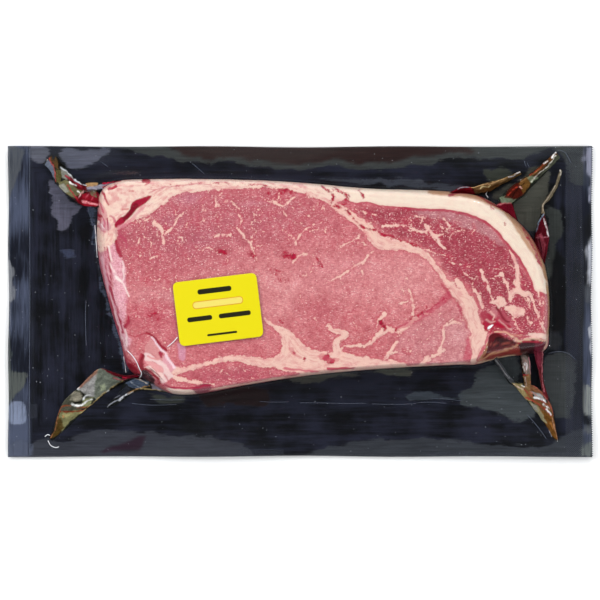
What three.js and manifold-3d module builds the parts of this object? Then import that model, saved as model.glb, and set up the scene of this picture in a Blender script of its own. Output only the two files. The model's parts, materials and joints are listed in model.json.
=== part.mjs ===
// A raw sirloin steak in its vacuum pack. The steak lies on a sheet of black film, and a clear film is
// drawn down over it, so it clings to the meat and lies flat on the black film all round. What film is left
// over at the corners stands up in folded pleats, and a paper label is stuck on top.
// Millimetres, +Z up, +X along the pack. The origin is the middle of the pack's underside.

import * as THREE from "three";
import { mergeVertices } from "three/addons/utils/BufferGeometryUtils.js";
import Module from "manifold-3d";

const wasm = await Module();
wasm.setup();

// ---------------------------------------------------------------- driving dimensions

const PACK = { length: 292, width: 155.5 };
const BACKING_THICKNESS = 0.4; // the black film
const FILM_THICKNESS = 0.3; // the clear film
const LABEL_THICKNESS = 0.25;
const GAP = 0.3; // between pieces that touch
const STEAK_THICKNESS = 20; // at the rim of the cut face
const FILLET = 2.6; // radius in which the clear film turns from the meat's side to the flange

// The foot of the steak's side, clockwise from its upper left corner, as x, y, and then how far from there
// the rim of the cut face lies along x and y. The side is trimmed on a slant at the left end and hollowed at
// the lower right.
const OUTLINE = [
  [-99, 55.5, 2.6, -2.4],
  [-91, 60, 1.2, -2.6],
  [-77.5, 61, 0.2, -2],
  [-37.5, 61, 0, -2],
  [-2, 59.5, 0, -2],
  [33.5, 56.5, 0, -2.6],
  [75, 54.8, -0.2, -3.6],
  [90, 52.4, -1, -3.6],
  [100, 47, -2.4, -3.2],
  [112.7, 35.8, -3.8, -3],
  [121, 22, -4.2, -1.6],
  [124.3, 5, -3.2, 0],
  [124.2, -14, -3.2, 0.6],
  [123, -23.5, -2.6, 5.4],
  [114, -26.4, -2, 8.4],
  [104, -27.4, -1.4, 10],
  [95.5, -29.4, -0.4, 9.2],
  [87.5, -31.4, 1.6, 4],
  [78.5, -31.6, 0.4, 2],
  [45, -33.3, 0.1, 2],
  [8.5, -36.4, 0.2, 2],
  [-25, -41.4, 0.2, 2],
  [-52, -46.2, 0.2, 2.6],
  [-64, -45.9, 1.2, 3],
  [-75, -40.4, 3, 5.4],
  [-85.2, -34, 5.4, 6],
  [-90.2, -18, 6.8, 2],
  [-96, 2, 7.4, 1.6],
  [-100.6, 22, 7, 1],
  [-101.3, 40, 5, -0.4],
];
const CENTRE = new THREE.Vector3(10, 8, 0); // every ring of the model shrinks towards this point

// The side's section from foot to rim: share of the way in to the rim, and share of the thickness.
const SIDE_PROFILE = [
  [0, 0],
  [0, 0.17],
  [0.08, 0.42],
  [0.26, 0.7],
  [0.58, 0.91],
  [1, 1],
];
const FACE_RINGS = [0.92, 0.78, 0.6, 0.4, 0.2]; // of the way from the centre to the rim
// Swellings and hollows of the cut face: x, y, radius, height.
const FACE_RELIEF = [
  [-15, 20, 60, 1.3],
  [60, -8, 38, 1.1],
  [100, 38, 22, 0.9],
  [95, -12, 14, -2.2],
  [-80, -26, 13, -2.4],
  [46, 26, 30, -0.7],
];

const STATIONS = 88; // places round the outline where the section is set
const FLANGE_RINGS = [0.25, 0.5, 0.75, 1]; // of the way from the fillet to the pack's edge
const EDGE_LIFT = 1.5; // how high the pack's edge curls, on average
const EDGE_LIFT_WAVE = 0.7; // and how much that varies along it
const EDGE_WAVES = 7;
const EDGE_PULL = 0.7; // how far the shrinking film draws the pack's edge in between corners

const LABEL = { length: 42, width: 32, corner: 2.6, x: -40.8, y: -4, turn: THREE.MathUtils.degToRad(7) };

// The pleats of spare film at the corners. Each is a fold lying over: its root is the line where it leaves
// the flange, as x, y, and its crest the line of the folded edge, as x, y, height. Those that start inside
// the steak's outline climb its side.
const PLEATS = [
  {
    root: [[-98, 53], [-107.5, 58.8], [-115, 63.6], [-118.5, 68.3], [-122, 75]],
    crest: [
      [-97, 46.4, 13],
      [-104, 48, 11.5],
      [-113.2, 50.4, 9.5],
      [-122.3, 59.6, 6.5],
      [-128.4, 68.8, 1.6],
    ],
  },
  {
    root: [[-82, -34], [-92, -42], [-99.2, -48], [-110.2, -57], [-122.4, -70.2]],
    crest: [
      [-86, -27, 13],
      [-93, -29.6, 11.5],
      [-101, -34.6, 9.5],
      [-116.8, -48.9, 7],
      [-124.9, -68.6, 1.4],
    ],
  },
  {
    root: [[-70, -39], [-80, -45.4], [-88, -49.4], [-96.6, -53.4]],
    crest: [[-70, -36.6, 9], [-80, -43, 6], [-87.6, -46.8, 4], [-96.8, -52.6, 0.9]],
  },
  {
    root: [[77, 53], [92, 58.6], [110, 65.4], [127.6, 74.8]],
    crest: [[76, 51, 14], [92, 56.6, 7.5], [110, 64, 4], [127.4, 74, 0.9]],
  },
  {
    root: [[100, 42], [113.8, 56.6], [121, 64], [128.6, 71.6]],
    crest: [[95.6, 42.6, 15], [110, 58, 8], [118.4, 65.2, 4.6], [127.8, 73.4, 0.9]],
  },
  {
    root: [[121.5, 17], [123.8, 36], [125.6, 51.5], [130.9, 65]],
    crest: [[116.5, 18, 15], [120.8, 40, 7.6], [123.9, 52, 3.6], [130, 65.4, 0.9]],
  },
  {
    root: [[96, -26], [103.4, -36.6], [108.6, -42.4], [115.7, -51.3], [125.8, -70]],
    crest: [
      [98, -24, 9],
      [105.4, -35.4, 6.5],
      [112, -40, 6.5],
      [125.6, -53.4, 6.2],
      [128.2, -69.4, 1.2],
    ],
  },
  {
    root: [[112.6, -23], [111.4, -34], [110.9, -42]],
    crest: [[109.6, -22.4, 10], [114.6, -34.6, 5.6], [114.4, -42, 2.4]],
  },
  {
    root: [[121, -21], [121.7, -35], [121.7, -45.4]],
    crest: [[116.8, -20.6, 15], [118, -35, 6.4], [119.6, -44.8, 2.6]],
  },
];
const PLEAT_SECTIONS = 10;
const PLEAT_ROOT_THICKNESS = 1.2;
const PLEAT_CREST_THICKNESS = 0.6;

// ---------------------------------------------------------------- solids from rings

// A closed mesh that starts at a point, runs through rings of as many points each, and ends at a point.
// Seen from above, the rings run anticlockwise, the start is the underside's middle and the end the top's.
// Each four-sided facet between two rings is split along its shorter diagonal.
function ringGeometry(start, rings, end) {
  const count = rings[0].length;
  const points = [start, ...rings.flat(), end];
  const at = (ring, station) => 1 + ring * count + (station % count);
  const last = points.length - 1;
  const faces = [];
  for (let i = 0; i < count; i++) {
    faces.push(0, at(0, i + 1), at(0, i));
    for (let r = 0; r + 1 < rings.length; r++) {
      const [a, b, c, d] = [at(r, i), at(r, i + 1), at(r + 1, i + 1), at(r + 1, i)];
      const splitFromA = points[a].distanceTo(points[c]) < points[b].distanceTo(points[d]);
      if (splitFromA) faces.push(a, b, c, a, c, d);
      else faces.push(a, b, d, b, c, d);
    }
    faces.push(last, at(rings.length - 1, i), at(rings.length - 1, i + 1));
  }
  const geometry = new THREE.BufferGeometry();
  const positions = points.flatMap((p) => [p.x, p.y, p.z]);
  geometry.setAttribute("position", new THREE.Float32BufferAttribute(positions, 3));
  geometry.setIndex(faces);
  return geometry;
}

function manifoldOf(geometry) {
  const merged = mergeVertices(geometry, 1e-4);
  return new wasm.Manifold(
    new wasm.Mesh({
      numProp: 3,
      vertProperties: new Float32Array(merged.attributes.position.array),
      triVerts: new Uint32Array(merged.index.array),
    }),
  );
}

function geometryOf(manifold) {
  const mesh = manifold.getMesh();
  const geometry = new THREE.BufferGeometry();
  geometry.setAttribute("position", new THREE.Float32BufferAttribute(mesh.vertProperties, 3));
  geometry.setIndex(new THREE.BufferAttribute(mesh.triVerts, 1));
  return geometry;
}

function meshOf(name, geometry, material) {
  geometry.computeVertexNormals();
  const mesh = new THREE.Mesh(geometry, material);
  mesh.name = name;
  return mesh;
}

// ---------------------------------------------------------------- stations round the steak

const closedCurve = (points) => new THREE.CatmullRomCurve3(points.reverse(), true, "centripetal");
const footCurve = closedCurve(OUTLINE.map(([x, y]) => new THREE.Vector3(x, y, 0)));
const rimCurve = closedCurve(OUTLINE.map(([x, y, dx, dy]) => new THREE.Vector3(x + dx, y + dy, 0)));

const headingFromCentre = (p) => Math.atan2(p.y - CENTRE.y, p.x - CENTRE.x);

// How far along the foot, from 0 to 1, it lies between the centre and a corner of the pack.
function placeTowards(corner) {
  const steps = 4000;
  const wanted = headingFromCentre(corner);
  let best = 0;
  let least = Infinity;
  for (let k = 0; k < steps; k++) {
    const off = Math.abs(Math.sin((headingFromCentre(footCurve.getPointAt(k / steps)) - wanted) / 2));
    if (off < least) {
      least = off;
      best = k / steps;
    }
  }
  return best;
}

const packCorners = [
  [1, 1],
  [-1, 1],
  [-1, -1],
  [1, -1],
].map(([sx, sy]) => new THREE.Vector3((sx * PACK.length) / 2, (sy * PACK.width) / 2, 0));

// Evenly spaced along the curve between the four places that face the pack's corners.
function stationPlaces() {
  const corners = packCorners.map(placeTowards);
  const places = [];
  corners.forEach((from, k) => {
    const span = (corners[(k + 1) % 4] - from + 1) % 1;
    const count = Math.round(span * STATIONS);
    for (let i = 0; i < count; i++) places.push((from + (span * i) / count) % 1);
  });
  return places;
}

// The point of the pack's edge that a ray from the centre reaches.
function packEdge(direction) {
  const reachX = ((Math.sign(direction.x) * PACK.length) / 2 - CENTRE.x) / direction.x;
  const reachY = ((Math.sign(direction.y) * PACK.width) / 2 - CENTRE.y) / direction.y;
  const onEnd = reachX < reachY;
  const p = CENTRE.clone().addScaledVector(direction, Math.min(reachX, reachY));
  const along = onEnd ? p.y / (PACK.width / 2) : p.x / (PACK.length / 2);
  const drawnIn = EDGE_PULL * (1 - along ** 2) * (0.6 + 0.4 * Math.cos(3 * Math.PI * along));
  if (onEnd) p.x -= Math.sign(direction.x) * drawnIn;
  else p.y -= Math.sign(direction.y) * drawnIn;
  return p;
}

const stations = stationPlaces().map((place, k, places) => {
  const foot = footCurve.getPointAt(place);
  const tangent = footCurve.getTangentAt(place);
  return {
    foot,
    rim: rimCurve.getPoint(footCurve.getUtoTmapping(place)),
    outward: new THREE.Vector3(tangent.y, -tangent.x, 0).normalize(),
    edge: packEdge(foot.clone().sub(CENTRE).normalize()),
    lift: EDGE_LIFT + EDGE_LIFT_WAVE * Math.sin((2 * Math.PI * EDGE_WAVES * k) / places.length),
  };
});

// ---------------------------------------------------------------- the steak

const steakBase = BACKING_THICKNESS + GAP;

function faceHeight(x, y) {
  const relief = FACE_RELIEF.reduce(
    (sum, [cx, cy, radius, height]) =>
      sum + height * Math.exp(-((x - cx) ** 2 + (y - cy) ** 2) / radius ** 2),
    0,
  );
  return steakBase + STEAK_THICKNESS + relief;
}

// Rings from the foot up to the rim, then in over the cut face.
function steakRings() {
  const side = SIDE_PROFILE.map(([insetShare, heightShare]) =>
    stations.map(({ foot, rim }) => {
      const p = foot.clone().lerp(rim, insetShare);
      p.z = steakBase + heightShare * (faceHeight(rim.x, rim.y) - steakBase);
      return p;
    }),
  );
  const rimRing = side.at(-1);
  const face = FACE_RINGS.map((share) =>
    rimRing.map((onRim) => {
      const p = CENTRE.clone().lerp(onRim, share);
      p.z = faceHeight(p.x, p.y);
      return p;
    }),
  );
  return [...side, ...face];
}

const meatRings = steakRings();
const faceCentre = new THREE.Vector3(CENTRE.x, CENTRE.y, faceHeight(CENTRE.x, CENTRE.y));

function steak() {
  const underside = new THREE.Vector3(CENTRE.x, CENTRE.y, steakBase);
  const geometry = ringGeometry(underside, meatRings, faceCentre);
  const material = new THREE.MeshStandardMaterial({ color: 0xb9525e, roughness: 0.45 });
  return meshOf("steak", geometry, material);
}

// ---------------------------------------------------------------- the two films

// How a point of the meat moves when its surface is thickened by a distance: outwards at the foot, upwards
// on the cut face, and in between over the rounded rim.
function thickened(p, ring, station, distance) {
  const insetShare = ring < SIDE_PROFILE.length ? SIDE_PROFILE[ring][0] : 1;
  const angle = (insetShare * Math.PI) / 2;
  const moved = p.clone().addScaledVector(stations[station].outward, distance * Math.cos(angle));
  moved.z += distance * Math.sin(angle);
  return moved;
}

// A ring of the flange, at a share of the way from the fillet to the pack's edge.
function flangeRing(share, height) {
  return stations.map(({ foot, outward, edge, lift }) => {
    const p = foot.clone().addScaledVector(outward, GAP + FILLET).lerp(edge, share);
    p.z = height + lift * share ** 2;
    return p;
  });
}

// One face of the clear film, from the pack's edge in to the middle: offset is 0 for the underside and the
// film's thickness for its upper face.
function filmFace(offset) {
  const height = BACKING_THICKNESS + GAP;
  const flange = [...FLANGE_RINGS].reverse().map((share) => flangeRing(share, height + offset));
  const fillet = [90, 60, 30].map((degrees) => {
    const angle = THREE.MathUtils.degToRad(degrees);
    const radius = FILLET - offset;
    return stations.map(({ foot, outward }) => {
      const p = foot.clone().addScaledVector(outward, GAP + FILLET - radius * Math.cos(angle));
      p.z = height + FILLET - radius * Math.sin(angle);
      return p;
    });
  });
  const overMeat = meatRings
    .slice(1)
    .map((ring, r) => ring.map((p, station) => thickened(p, r + 1, station, GAP + offset)));
  return [...flange, ...fillet, ...overMeat];
}

// A fold of two layers of film, as a blade between its root and its crest.
function pleat({ root, crest }) {
  const rootHeight = BACKING_THICKNESS + GAP + FILM_THICKNESS / 2;
  const rootCurve = new THREE.CatmullRomCurve3(root.map(([x, y]) => new THREE.Vector3(x, y, rootHeight)));
  const crestCurve = new THREE.CatmullRomCurve3(
    crest.map(([x, y, z]) => new THREE.Vector3(x, y, z + rootHeight)),
  );
  const sections = [];
  for (let k = 0; k <= PLEAT_SECTIONS; k++) {
    const low = rootCurve.getPoint(k / PLEAT_SECTIONS);
    const high = crestCurve.getPoint(k / PLEAT_SECTIONS);
    const along = rootCurve.getTangent(k / PLEAT_SECTIONS);
    const across = along.cross(high.clone().sub(low)).normalize();
    sections.push([
      low.clone().addScaledVector(across, PLEAT_ROOT_THICKNESS / 2),
      low.clone().addScaledVector(across, -PLEAT_ROOT_THICKNESS / 2),
      high.clone().addScaledVector(across, -PLEAT_CREST_THICKNESS / 2),
      high.clone().addScaledVector(across, PLEAT_CREST_THICKNESS / 2),
    ]);
  }
  const middle = (section) =>
    section.reduce((sum, p) => sum.add(p), new THREE.Vector3()).multiplyScalar(1 / section.length);
  return manifoldOf(ringGeometry(middle(sections[0]), sections, middle(sections.at(-1))));
}

function clearFilm() {
  const under = filmFace(0);
  const upper = filmFace(FILM_THICKNESS);
  const underCentre = faceCentre.clone().setZ(faceCentre.z + GAP);
  const upperCentre = faceCentre.clone().setZ(faceCentre.z + GAP + FILM_THICKNESS);
  const shell = manifoldOf(ringGeometry(underCentre, [...under.reverse(), ...upper], upperCentre));

  // All that lies below the film, which the pleats are trimmed to.
  const depth = -10;
  const floorCentre = CENTRE.clone().setZ(depth);
  const floorRing = flangeRing(1, 0).map((p) => p.setZ(depth));
  const below = manifoldOf(ringGeometry(floorCentre, [floorRing, ...filmFace(0)], underCentre));

  const pleated = PLEATS.reduce((film, fold) => film.add(pleat(fold).subtract(below)), shell);
  const material = new THREE.MeshStandardMaterial({
    color: 0xdfe3e6,
    roughness: 0.08,
    transparent: true,
    opacity: 0.25,
  });
  return meshOf("clear_film", geometryOf(pleated), material);
}

function backingFilm() {
  const shares = [0, ...FLANGE_RINGS];
  const under = shares.map((share) => flangeRing(share, 0));
  const upper = shares.map((share) => flangeRing(share, BACKING_THICKNESS)).reverse();
  const underCentre = CENTRE.clone();
  const upperCentre = CENTRE.clone().setZ(BACKING_THICKNESS);
  const geometry = ringGeometry(underCentre, [...under, ...upper], upperCentre);
  const material = new THREE.MeshStandardMaterial({ color: 0x1d1d24, roughness: 0.25 });
  return meshOf("backing_film", geometry, material);
}

// ---------------------------------------------------------------- the label

// The outline of a rectangle with round corners, anticlockwise, with points along its straight sides too.
function roundedRectangle(length, width, radius, arcSteps, sideSteps) {
  const points = [];
  [
    [1, 1],
    [-1, 1],
    [-1, -1],
    [1, -1],
  ].forEach(([sx, sy], k) => {
    const centre = new THREE.Vector2(sx * (length / 2 - radius), sy * (width / 2 - radius));
    const onArc = (step) =>
      new THREE.Vector2(radius, 0)
        .rotateAround(new THREE.Vector2(), ((k + step / arcSteps) * Math.PI) / 2)
        .add(centre);
    for (let step = 0; step <= arcSteps; step++) points.push(onArc(step));
    const end = onArc(arcSteps);
    const side = k % 2 === 0 ? length - 2 * radius : width - 2 * radius;
    const heading = new THREE.Vector2(-1, 0).rotateAround(new THREE.Vector2(), (k * Math.PI) / 2);
    for (let step = 1; step < sideSteps; step++) {
      points.push(end.clone().addScaledVector(heading, (side * step) / sideSteps));
    }
  });
  return points;
}

function label() {
  const outline = roundedRectangle(LABEL.length, LABEL.width, LABEL.corner, 4, 4);
  const placed = (p, share, height) => {
    const onFace = p.clone().multiplyScalar(share).rotateAround(new THREE.Vector2(), LABEL.turn);
    const [x, y] = [LABEL.x + onFace.x, LABEL.y + onFace.y];
    return new THREE.Vector3(x, y, faceHeight(x, y) + 2 * GAP + FILM_THICKNESS + height);
  };
  const ring = (share, height) => outline.map((p) => placed(p, share, height));
  const shares = [0.35, 0.7, 1];
  const under = shares.map((share) => ring(share, 0));
  const upper = shares.map((share) => ring(share, LABEL_THICKNESS)).reverse();
  const middle = new THREE.Vector2();
  const geometry = ringGeometry(
    placed(middle, 0, 0),
    [...under, ...upper],
    placed(middle, 0, LABEL_THICKNESS),
  );
  const material = new THREE.MeshStandardMaterial({ color: 0xf4e40c, roughness: 0.5 });
  return meshOf("label", geometry, material);
}

const pack = new THREE.Group();
pack.add(backingFilm(), steak(), clearFilm(), label());

export default pack;
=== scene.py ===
# %% [markdown]
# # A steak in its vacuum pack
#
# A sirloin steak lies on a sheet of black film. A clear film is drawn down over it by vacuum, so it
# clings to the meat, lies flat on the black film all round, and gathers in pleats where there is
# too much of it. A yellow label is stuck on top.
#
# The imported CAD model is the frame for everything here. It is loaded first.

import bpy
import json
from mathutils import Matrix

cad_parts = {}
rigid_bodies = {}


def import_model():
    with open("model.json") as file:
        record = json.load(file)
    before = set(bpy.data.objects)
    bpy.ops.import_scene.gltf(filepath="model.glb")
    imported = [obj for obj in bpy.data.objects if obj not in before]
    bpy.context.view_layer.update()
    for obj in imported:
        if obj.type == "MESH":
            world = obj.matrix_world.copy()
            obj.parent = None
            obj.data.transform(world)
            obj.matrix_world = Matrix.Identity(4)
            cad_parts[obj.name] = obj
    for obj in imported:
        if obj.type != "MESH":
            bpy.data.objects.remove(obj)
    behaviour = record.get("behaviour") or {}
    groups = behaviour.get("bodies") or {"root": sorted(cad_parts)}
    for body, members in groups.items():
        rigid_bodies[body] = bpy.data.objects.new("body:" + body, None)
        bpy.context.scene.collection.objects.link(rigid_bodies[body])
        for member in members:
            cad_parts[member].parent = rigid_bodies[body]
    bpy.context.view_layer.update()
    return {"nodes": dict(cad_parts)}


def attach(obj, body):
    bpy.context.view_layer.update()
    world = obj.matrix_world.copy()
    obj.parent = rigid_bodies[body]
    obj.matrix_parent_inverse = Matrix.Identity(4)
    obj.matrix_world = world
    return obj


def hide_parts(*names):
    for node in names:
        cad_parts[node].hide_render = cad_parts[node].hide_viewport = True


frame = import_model()
print("CAD nodes:", sorted(frame["nodes"]))

# %% [markdown]
# ## Units, colours and nodes
#
# Sizes are easier to read in millimetres, so all the shapes are worked out in them, and are turned
# to Blender's metres when a mesh is made. Colours are written as the hex codes of a paint chart,
# and shaders need them as linear light. One function adds every node, of shaders and of Geometry
# Nodes alike.

# %% Units, colours and nodes
import json
import math
from itertools import product

import bpy
import numpy as np
from mathutils import Vector
from mathutils.bvhtree import BVHTree

MM = 0.001


def colour(code):
    """The linear colour of an sRGB hex code."""
    channels = [int(code[k : k + 2], 16) / 255 for k in (0, 2, 4)]
    linear = [c / 12.92 if c <= 0.04045 else ((c + 0.055) / 1.055) ** 2.4 for c in channels]
    return (*linear, 1.0)


def put(tree, kind, inputs=None, **settings):
    """Adds a node. An input, by its name or number, gets a value or another node's output."""
    node = tree.nodes.new(kind)
    for name, value in settings.items():
        setattr(node, name, value)
    for key, value in (inputs or {}).items():
        if isinstance(value, bpy.types.NodeSocket):
            tree.links.new(value, node.inputs[key])
        else:
            node.inputs[key].default_value = value
    return node


print("mid grey as linear light:", round(colour("808080")[0], 3))

# %% [markdown]
# ## Sizes
#
# These are the sizes of the CAD model, so that each piece lands where its solid is. The steak's
# outline is a short list of points, as it would be traced round the meat. Each point has the foot
# of the steak's side, and how far from there the rim of the cut face lies, because the butcher's
# trim isn't upright everywhere.

# %% Sizes
PACK_LENGTH = 292
PACK_WIDTH = 155.5
BACKING_THICKNESS = 0.4  # thicker than real film, as in the CAD model
FILM_THICKNESS = 0.3
GAP = 0.3  # between pieces that touch
STEAK_BASE = BACKING_THICKNESS + GAP
STEAK_THICKNESS = 20
FILLET = 1.2  # radius in which the clear film turns from the meat's side to the flat
EDGE_LIFT = 1.5  # how high the pack's edge curls
EDGE_LIFT_WAVE = 0.7
EDGE_WAVES = 7
EDGE_PULL = 0.7  # how far the shrinking film draws the edge in
CENTRE = np.array([10.0, 8.0])

# Foot x, y, then from there to the rim along x and y, clockwise from the upper left corner.
OUTLINE = np.array([
    (-99, 55.5, 2.6, -2.4), (-91, 60, 1.2, -2.6), (-77.5, 61, 0.2, -2), (-37.5, 61, 0, -2),
    (-2, 59.5, 0, -2), (33.5, 56.5, 0, -2.6), (75, 54.8, -0.2, -3.6), (90, 52.4, -1, -3.6),
    (100, 47, -2.4, -3.2), (112.7, 35.8, -3.8, -3), (121, 22, -4.2, -1.6), (124.3, 5, -3.2, 0),
    (124.2, -14, -3.2, 0.6), (123, -23.5, -2.6, 5.4), (114, -26.4, -2, 8.4), (104, -27.4, -1.4, 10),
    (95.5, -29.4, -0.4, 9.2), (87.5, -31.4, 1.6, 4), (78.5, -31.6, 0.4, 2), (45, -33.3, 0.1, 2),
    (8.5, -36.4, 0.2, 2), (-25, -41.4, 0.2, 2), (-52, -46.2, 0.2, 2.6), (-64, -45.9, 1.2, 3),
    (-75, -40.4, 3, 5.4), (-85.2, -34, 5.4, 6), (-90.2, -18, 6.8, 2), (-96, 2, 7.4, 1.6),
    (-100.6, 22, 7, 1), (-101.3, 40, 5, -0.4),
])
CORNER_ROWS = (24, 13, 9, 0)  # the steak's corners in that list, anticlockwise from the lower left

# The side from foot to rim: share of the way in, and share of the thickness.
SIDE_PROFILE = [(0, 0), (0, 0.17), (0.08, 0.42), (0.26, 0.7), (0.58, 0.91), (1, 1)]
# Swellings and hollows of the cut face: x, y, radius, height.
FACE_RELIEF = [
    (-15, 20, 60, 1.3), (60, -8, 38, 1.1), (100, 38, 22, 0.9),
    (95, -12, 14, -2.2), (-80, -26, 13, -2.4), (46, 26, 30, -0.7),
]


def face_height(xy):
    """How high the cut face is."""
    height = np.full(len(xy), float(STEAK_BASE + STEAK_THICKNESS))
    for x, y, radius, rise in FACE_RELIEF:
        height += rise * np.exp(-((xy[:, 0] - x) ** 2 + (xy[:, 1] - y) ** 2) / radius**2)
    return height


print("steak", OUTLINE[:, 0].min(), "to", OUTLINE[:, 0].max(), "mm along the pack")

# %% [markdown]
# ## Smooth curves and smooth noise
#
# Meat and film have no straight lines. A Catmull-Rom curve passes through every one of the points
# it is given, which a Bezier's handles don't promise, so a shape can be traced with few points.
# Noise made from a seeded table of random numbers gives the small irregularities, and the same ones
# on every run.

# %% Smooth curves and smooth noise
def curve(points, places, closed=True):
    """Points of the smooth curve through the given ones. Place 0 is the first, 1 the second."""
    points = np.asarray(points, float)
    places = np.asarray(places, float)
    if closed:
        places = places % len(points)
        padded = np.vstack([points[-1:], points, points[:2]])
        low = np.minimum(np.floor(places).astype(int), len(points) - 1)
    else:
        first, last = 2 * points[:1] - points[1:2], 2 * points[-1:] - points[-2:-1]
        padded = np.vstack([first, points, last])
        low = np.clip(np.floor(places).astype(int), 0, len(points) - 2)
    t = (places - low)[:, None]
    before, start, end, after = (padded[low + k] for k in range(4))
    pairs = ((before, start), (start, end), (end, after))
    d0, d1, d2 = (np.sqrt(np.linalg.norm(b - a, axis=1))[:, None] for a, b in pairs)
    leave = ((start - before) / d0 - (end - before) / (d0 + d1) + (end - start) / d1) * d1
    arrive = ((end - start) / d1 - (after - start) / (d1 + d2) + (after - end) / d2) * d1
    bend = 3 * (end - start) - 2 * leave - arrive
    twist = 2 * (start - end) + leave + arrive
    return start + t * (leave + t * (bend + t * twist))


NOISE_TABLE = 48


def noise(points, size, seed, octaves=2):
    """Smooth noise from about -1 to 1, with bumps as wide as size."""
    table = np.random.default_rng(seed).uniform(-1, 1, (NOISE_TABLE,) * 3)
    if points.shape[1] == 2:
        points = np.column_stack([points, np.zeros(len(points))])
    total = np.zeros(len(points))
    strength = 1.0
    for octave in range(octaves):
        cell = points / size * 2**octave + 7.3 * octave
        low = np.floor(cell).astype(int)
        t = cell - low
        t = t * t * (3 - 2 * t)
        for corner in product((0, 1), repeat=3):
            weight = np.prod(np.where(corner, t, 1 - t), axis=1)
            at = (low + corner) % NOISE_TABLE
            total += strength * weight * table[at[:, 0], at[:, 1], at[:, 2]]
        strength /= 2
    return total


def wavering(points, amount, size, seeds, octaves=2):
    """The points' x and y, shifted a little by noise."""
    shifts = [noise(points, size, seed, octaves) for seed in seeds]
    return points[:, :2] + amount * np.column_stack(shifts)


def smooth_step(value, start, end):
    """0 before start, 1 after end, and an S-curve between."""
    t = np.clip((value - start) / (end - start), 0, 1)
    return t * t * (3 - 2 * t)


def unit(ways):
    """The same directions, each of length 1."""
    return ways / np.linalg.norm(ways, axis=1)[:, None]


square = [(1, 0), (0, 1), (-1, 0), (0, -1)]
print("a curve through a square's corners bulges to", curve(square, [0.5]).round(2))

# %% [markdown]
# ## Rings round the steak
#
# The steak, the clear film and the flat all round are built from rings with the same stations:
# places on the outline, evenly spaced between the steak's four corners. The four corners matter
# because the cut face is then filled by a Coons patch, which blends the four sides of its edge into
# an even grid. A fan of triangles from the middle would give needles instead, too long to carry
# fine detail.

# %% Rings round the steak
foot_points = OUTLINE[::-1, :2]
rim_points = foot_points + OUTLINE[::-1, 2:]
corner_places = [len(OUTLINE) - 1 - row for row in CORNER_ROWS]
corner_places.append(corner_places[0] + len(OUTLINE))

FINE_STEPS = 12000  # in which the outline is measured, over two turns
fine_places = np.linspace(0, 2 * len(OUTLINE), FINE_STEPS + 1)
fine_foot = curve(foot_points, fine_places)
fine_lengths = np.concatenate([[0], np.cumsum(np.linalg.norm(np.diff(fine_foot, axis=0), axis=1))])


class Stations:
    """Places round the steak: columns of them along each long side, and rows along each end."""

    def __init__(self, columns, rows):
        self.columns = columns
        self.rows = rows
        spans = []
        for k, count in enumerate((columns, rows, columns, rows)):
            ends = np.interp(corner_places[k : k + 2], fine_places, fine_lengths)
            spans.append(np.linspace(*ends, count, endpoint=False))
        self.lengths = np.concatenate(spans)
        places = np.interp(self.lengths, fine_lengths, fine_places)
        self.foot = curve(foot_points, places)
        self.rim = curve(rim_points, places)
        along = unit(curve(foot_points, places + 0.01) - curve(foot_points, places - 0.01))
        self.outward = np.column_stack([along[:, 1], -along[:, 0]])

    def patch(self):
        """Grid of points that fills the rim."""
        c, r = self.columns, self.rows
        u = np.linspace(0, 1, c + 1)[:, None, None]
        v = np.linspace(0, 1, r + 1)[None, :, None]
        ring = np.vstack([self.rim, self.rim[:1]])
        low, right = ring[: c + 1], ring[c : c + r + 1]
        top, left = ring[c + r : 2 * c + r + 1][::-1], ring[2 * c + r :][::-1]
        sides = (1 - v) * low[:, None] + v * top[:, None] + (1 - u) * left[None] + u * right[None]
        ends = (1 - v) * ((1 - u) * low[0] + u * low[-1]) + v * ((1 - u) * top[0] + u * top[-1])
        return sides - ends

    def patch_numbers(self, first_of_rim, first_inside):
        """Which point of the mesh each point of the patch is."""
        c, r = self.columns, self.rows
        numbers = np.empty((c + 1, r + 1), int)
        numbers[1:-1, 1:-1] = first_inside + np.arange((c - 1) * (r - 1)).reshape(c - 1, r - 1)
        ring = first_of_rim + np.append(np.arange(2 * (c + r)), 0)
        numbers[:, 0] = ring[: c + 1]
        numbers[-1, :] = ring[c : c + r + 1]
        numbers[::-1, -1] = ring[c + r : 2 * c + r + 1]
        numbers[0, ::-1] = ring[2 * c + r :]
        return numbers


print("round the steak's foot:", round(fine_lengths[FINE_STEPS // 2]), "mm")

# %% [markdown]
# Between two rings the faces are a band, and over the rim they are the patch's grid. The steak's
# side is a stack of rings too, from its foot to the rim. The clear film lies close to the steak, so
# it is made of the same rings, moved outwards: that keeps an even gap, which shrinking one mesh on
# to the other wouldn't.

# %% Surfaces from rings
def quads(grid):
    """The four-sided faces of a grid of point numbers."""
    corners = [grid[:-1, :-1], grid[1:, :-1], grid[1:, 1:], grid[:-1, 1:]]
    return np.stack(corners, axis=-1).reshape(-1, 4)


def wall(ring, below):
    """The faces under a closed ring, down to a second ring that is so much further in the list."""
    after = np.roll(ring, -1)
    return np.column_stack([ring + below, after + below, after, ring])


def skin(stations, rings, height):
    """The points and faces of a surface from an outer ring, through the others, over the face."""
    count = len(rings[0])
    inside = stations.patch()[1:-1, 1:-1].reshape(-1, 2)
    points = np.vstack([*rings, np.column_stack([inside, height(inside)])])
    numbers = np.arange(len(rings) * count).reshape(len(rings), count)
    wrapped = np.column_stack([numbers, numbers[:, :1]])
    around = quads(wrapped.T)
    over = quads(stations.patch_numbers(numbers[-1, 0], len(rings) * count))
    return points, np.vstack([around, over])


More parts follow.
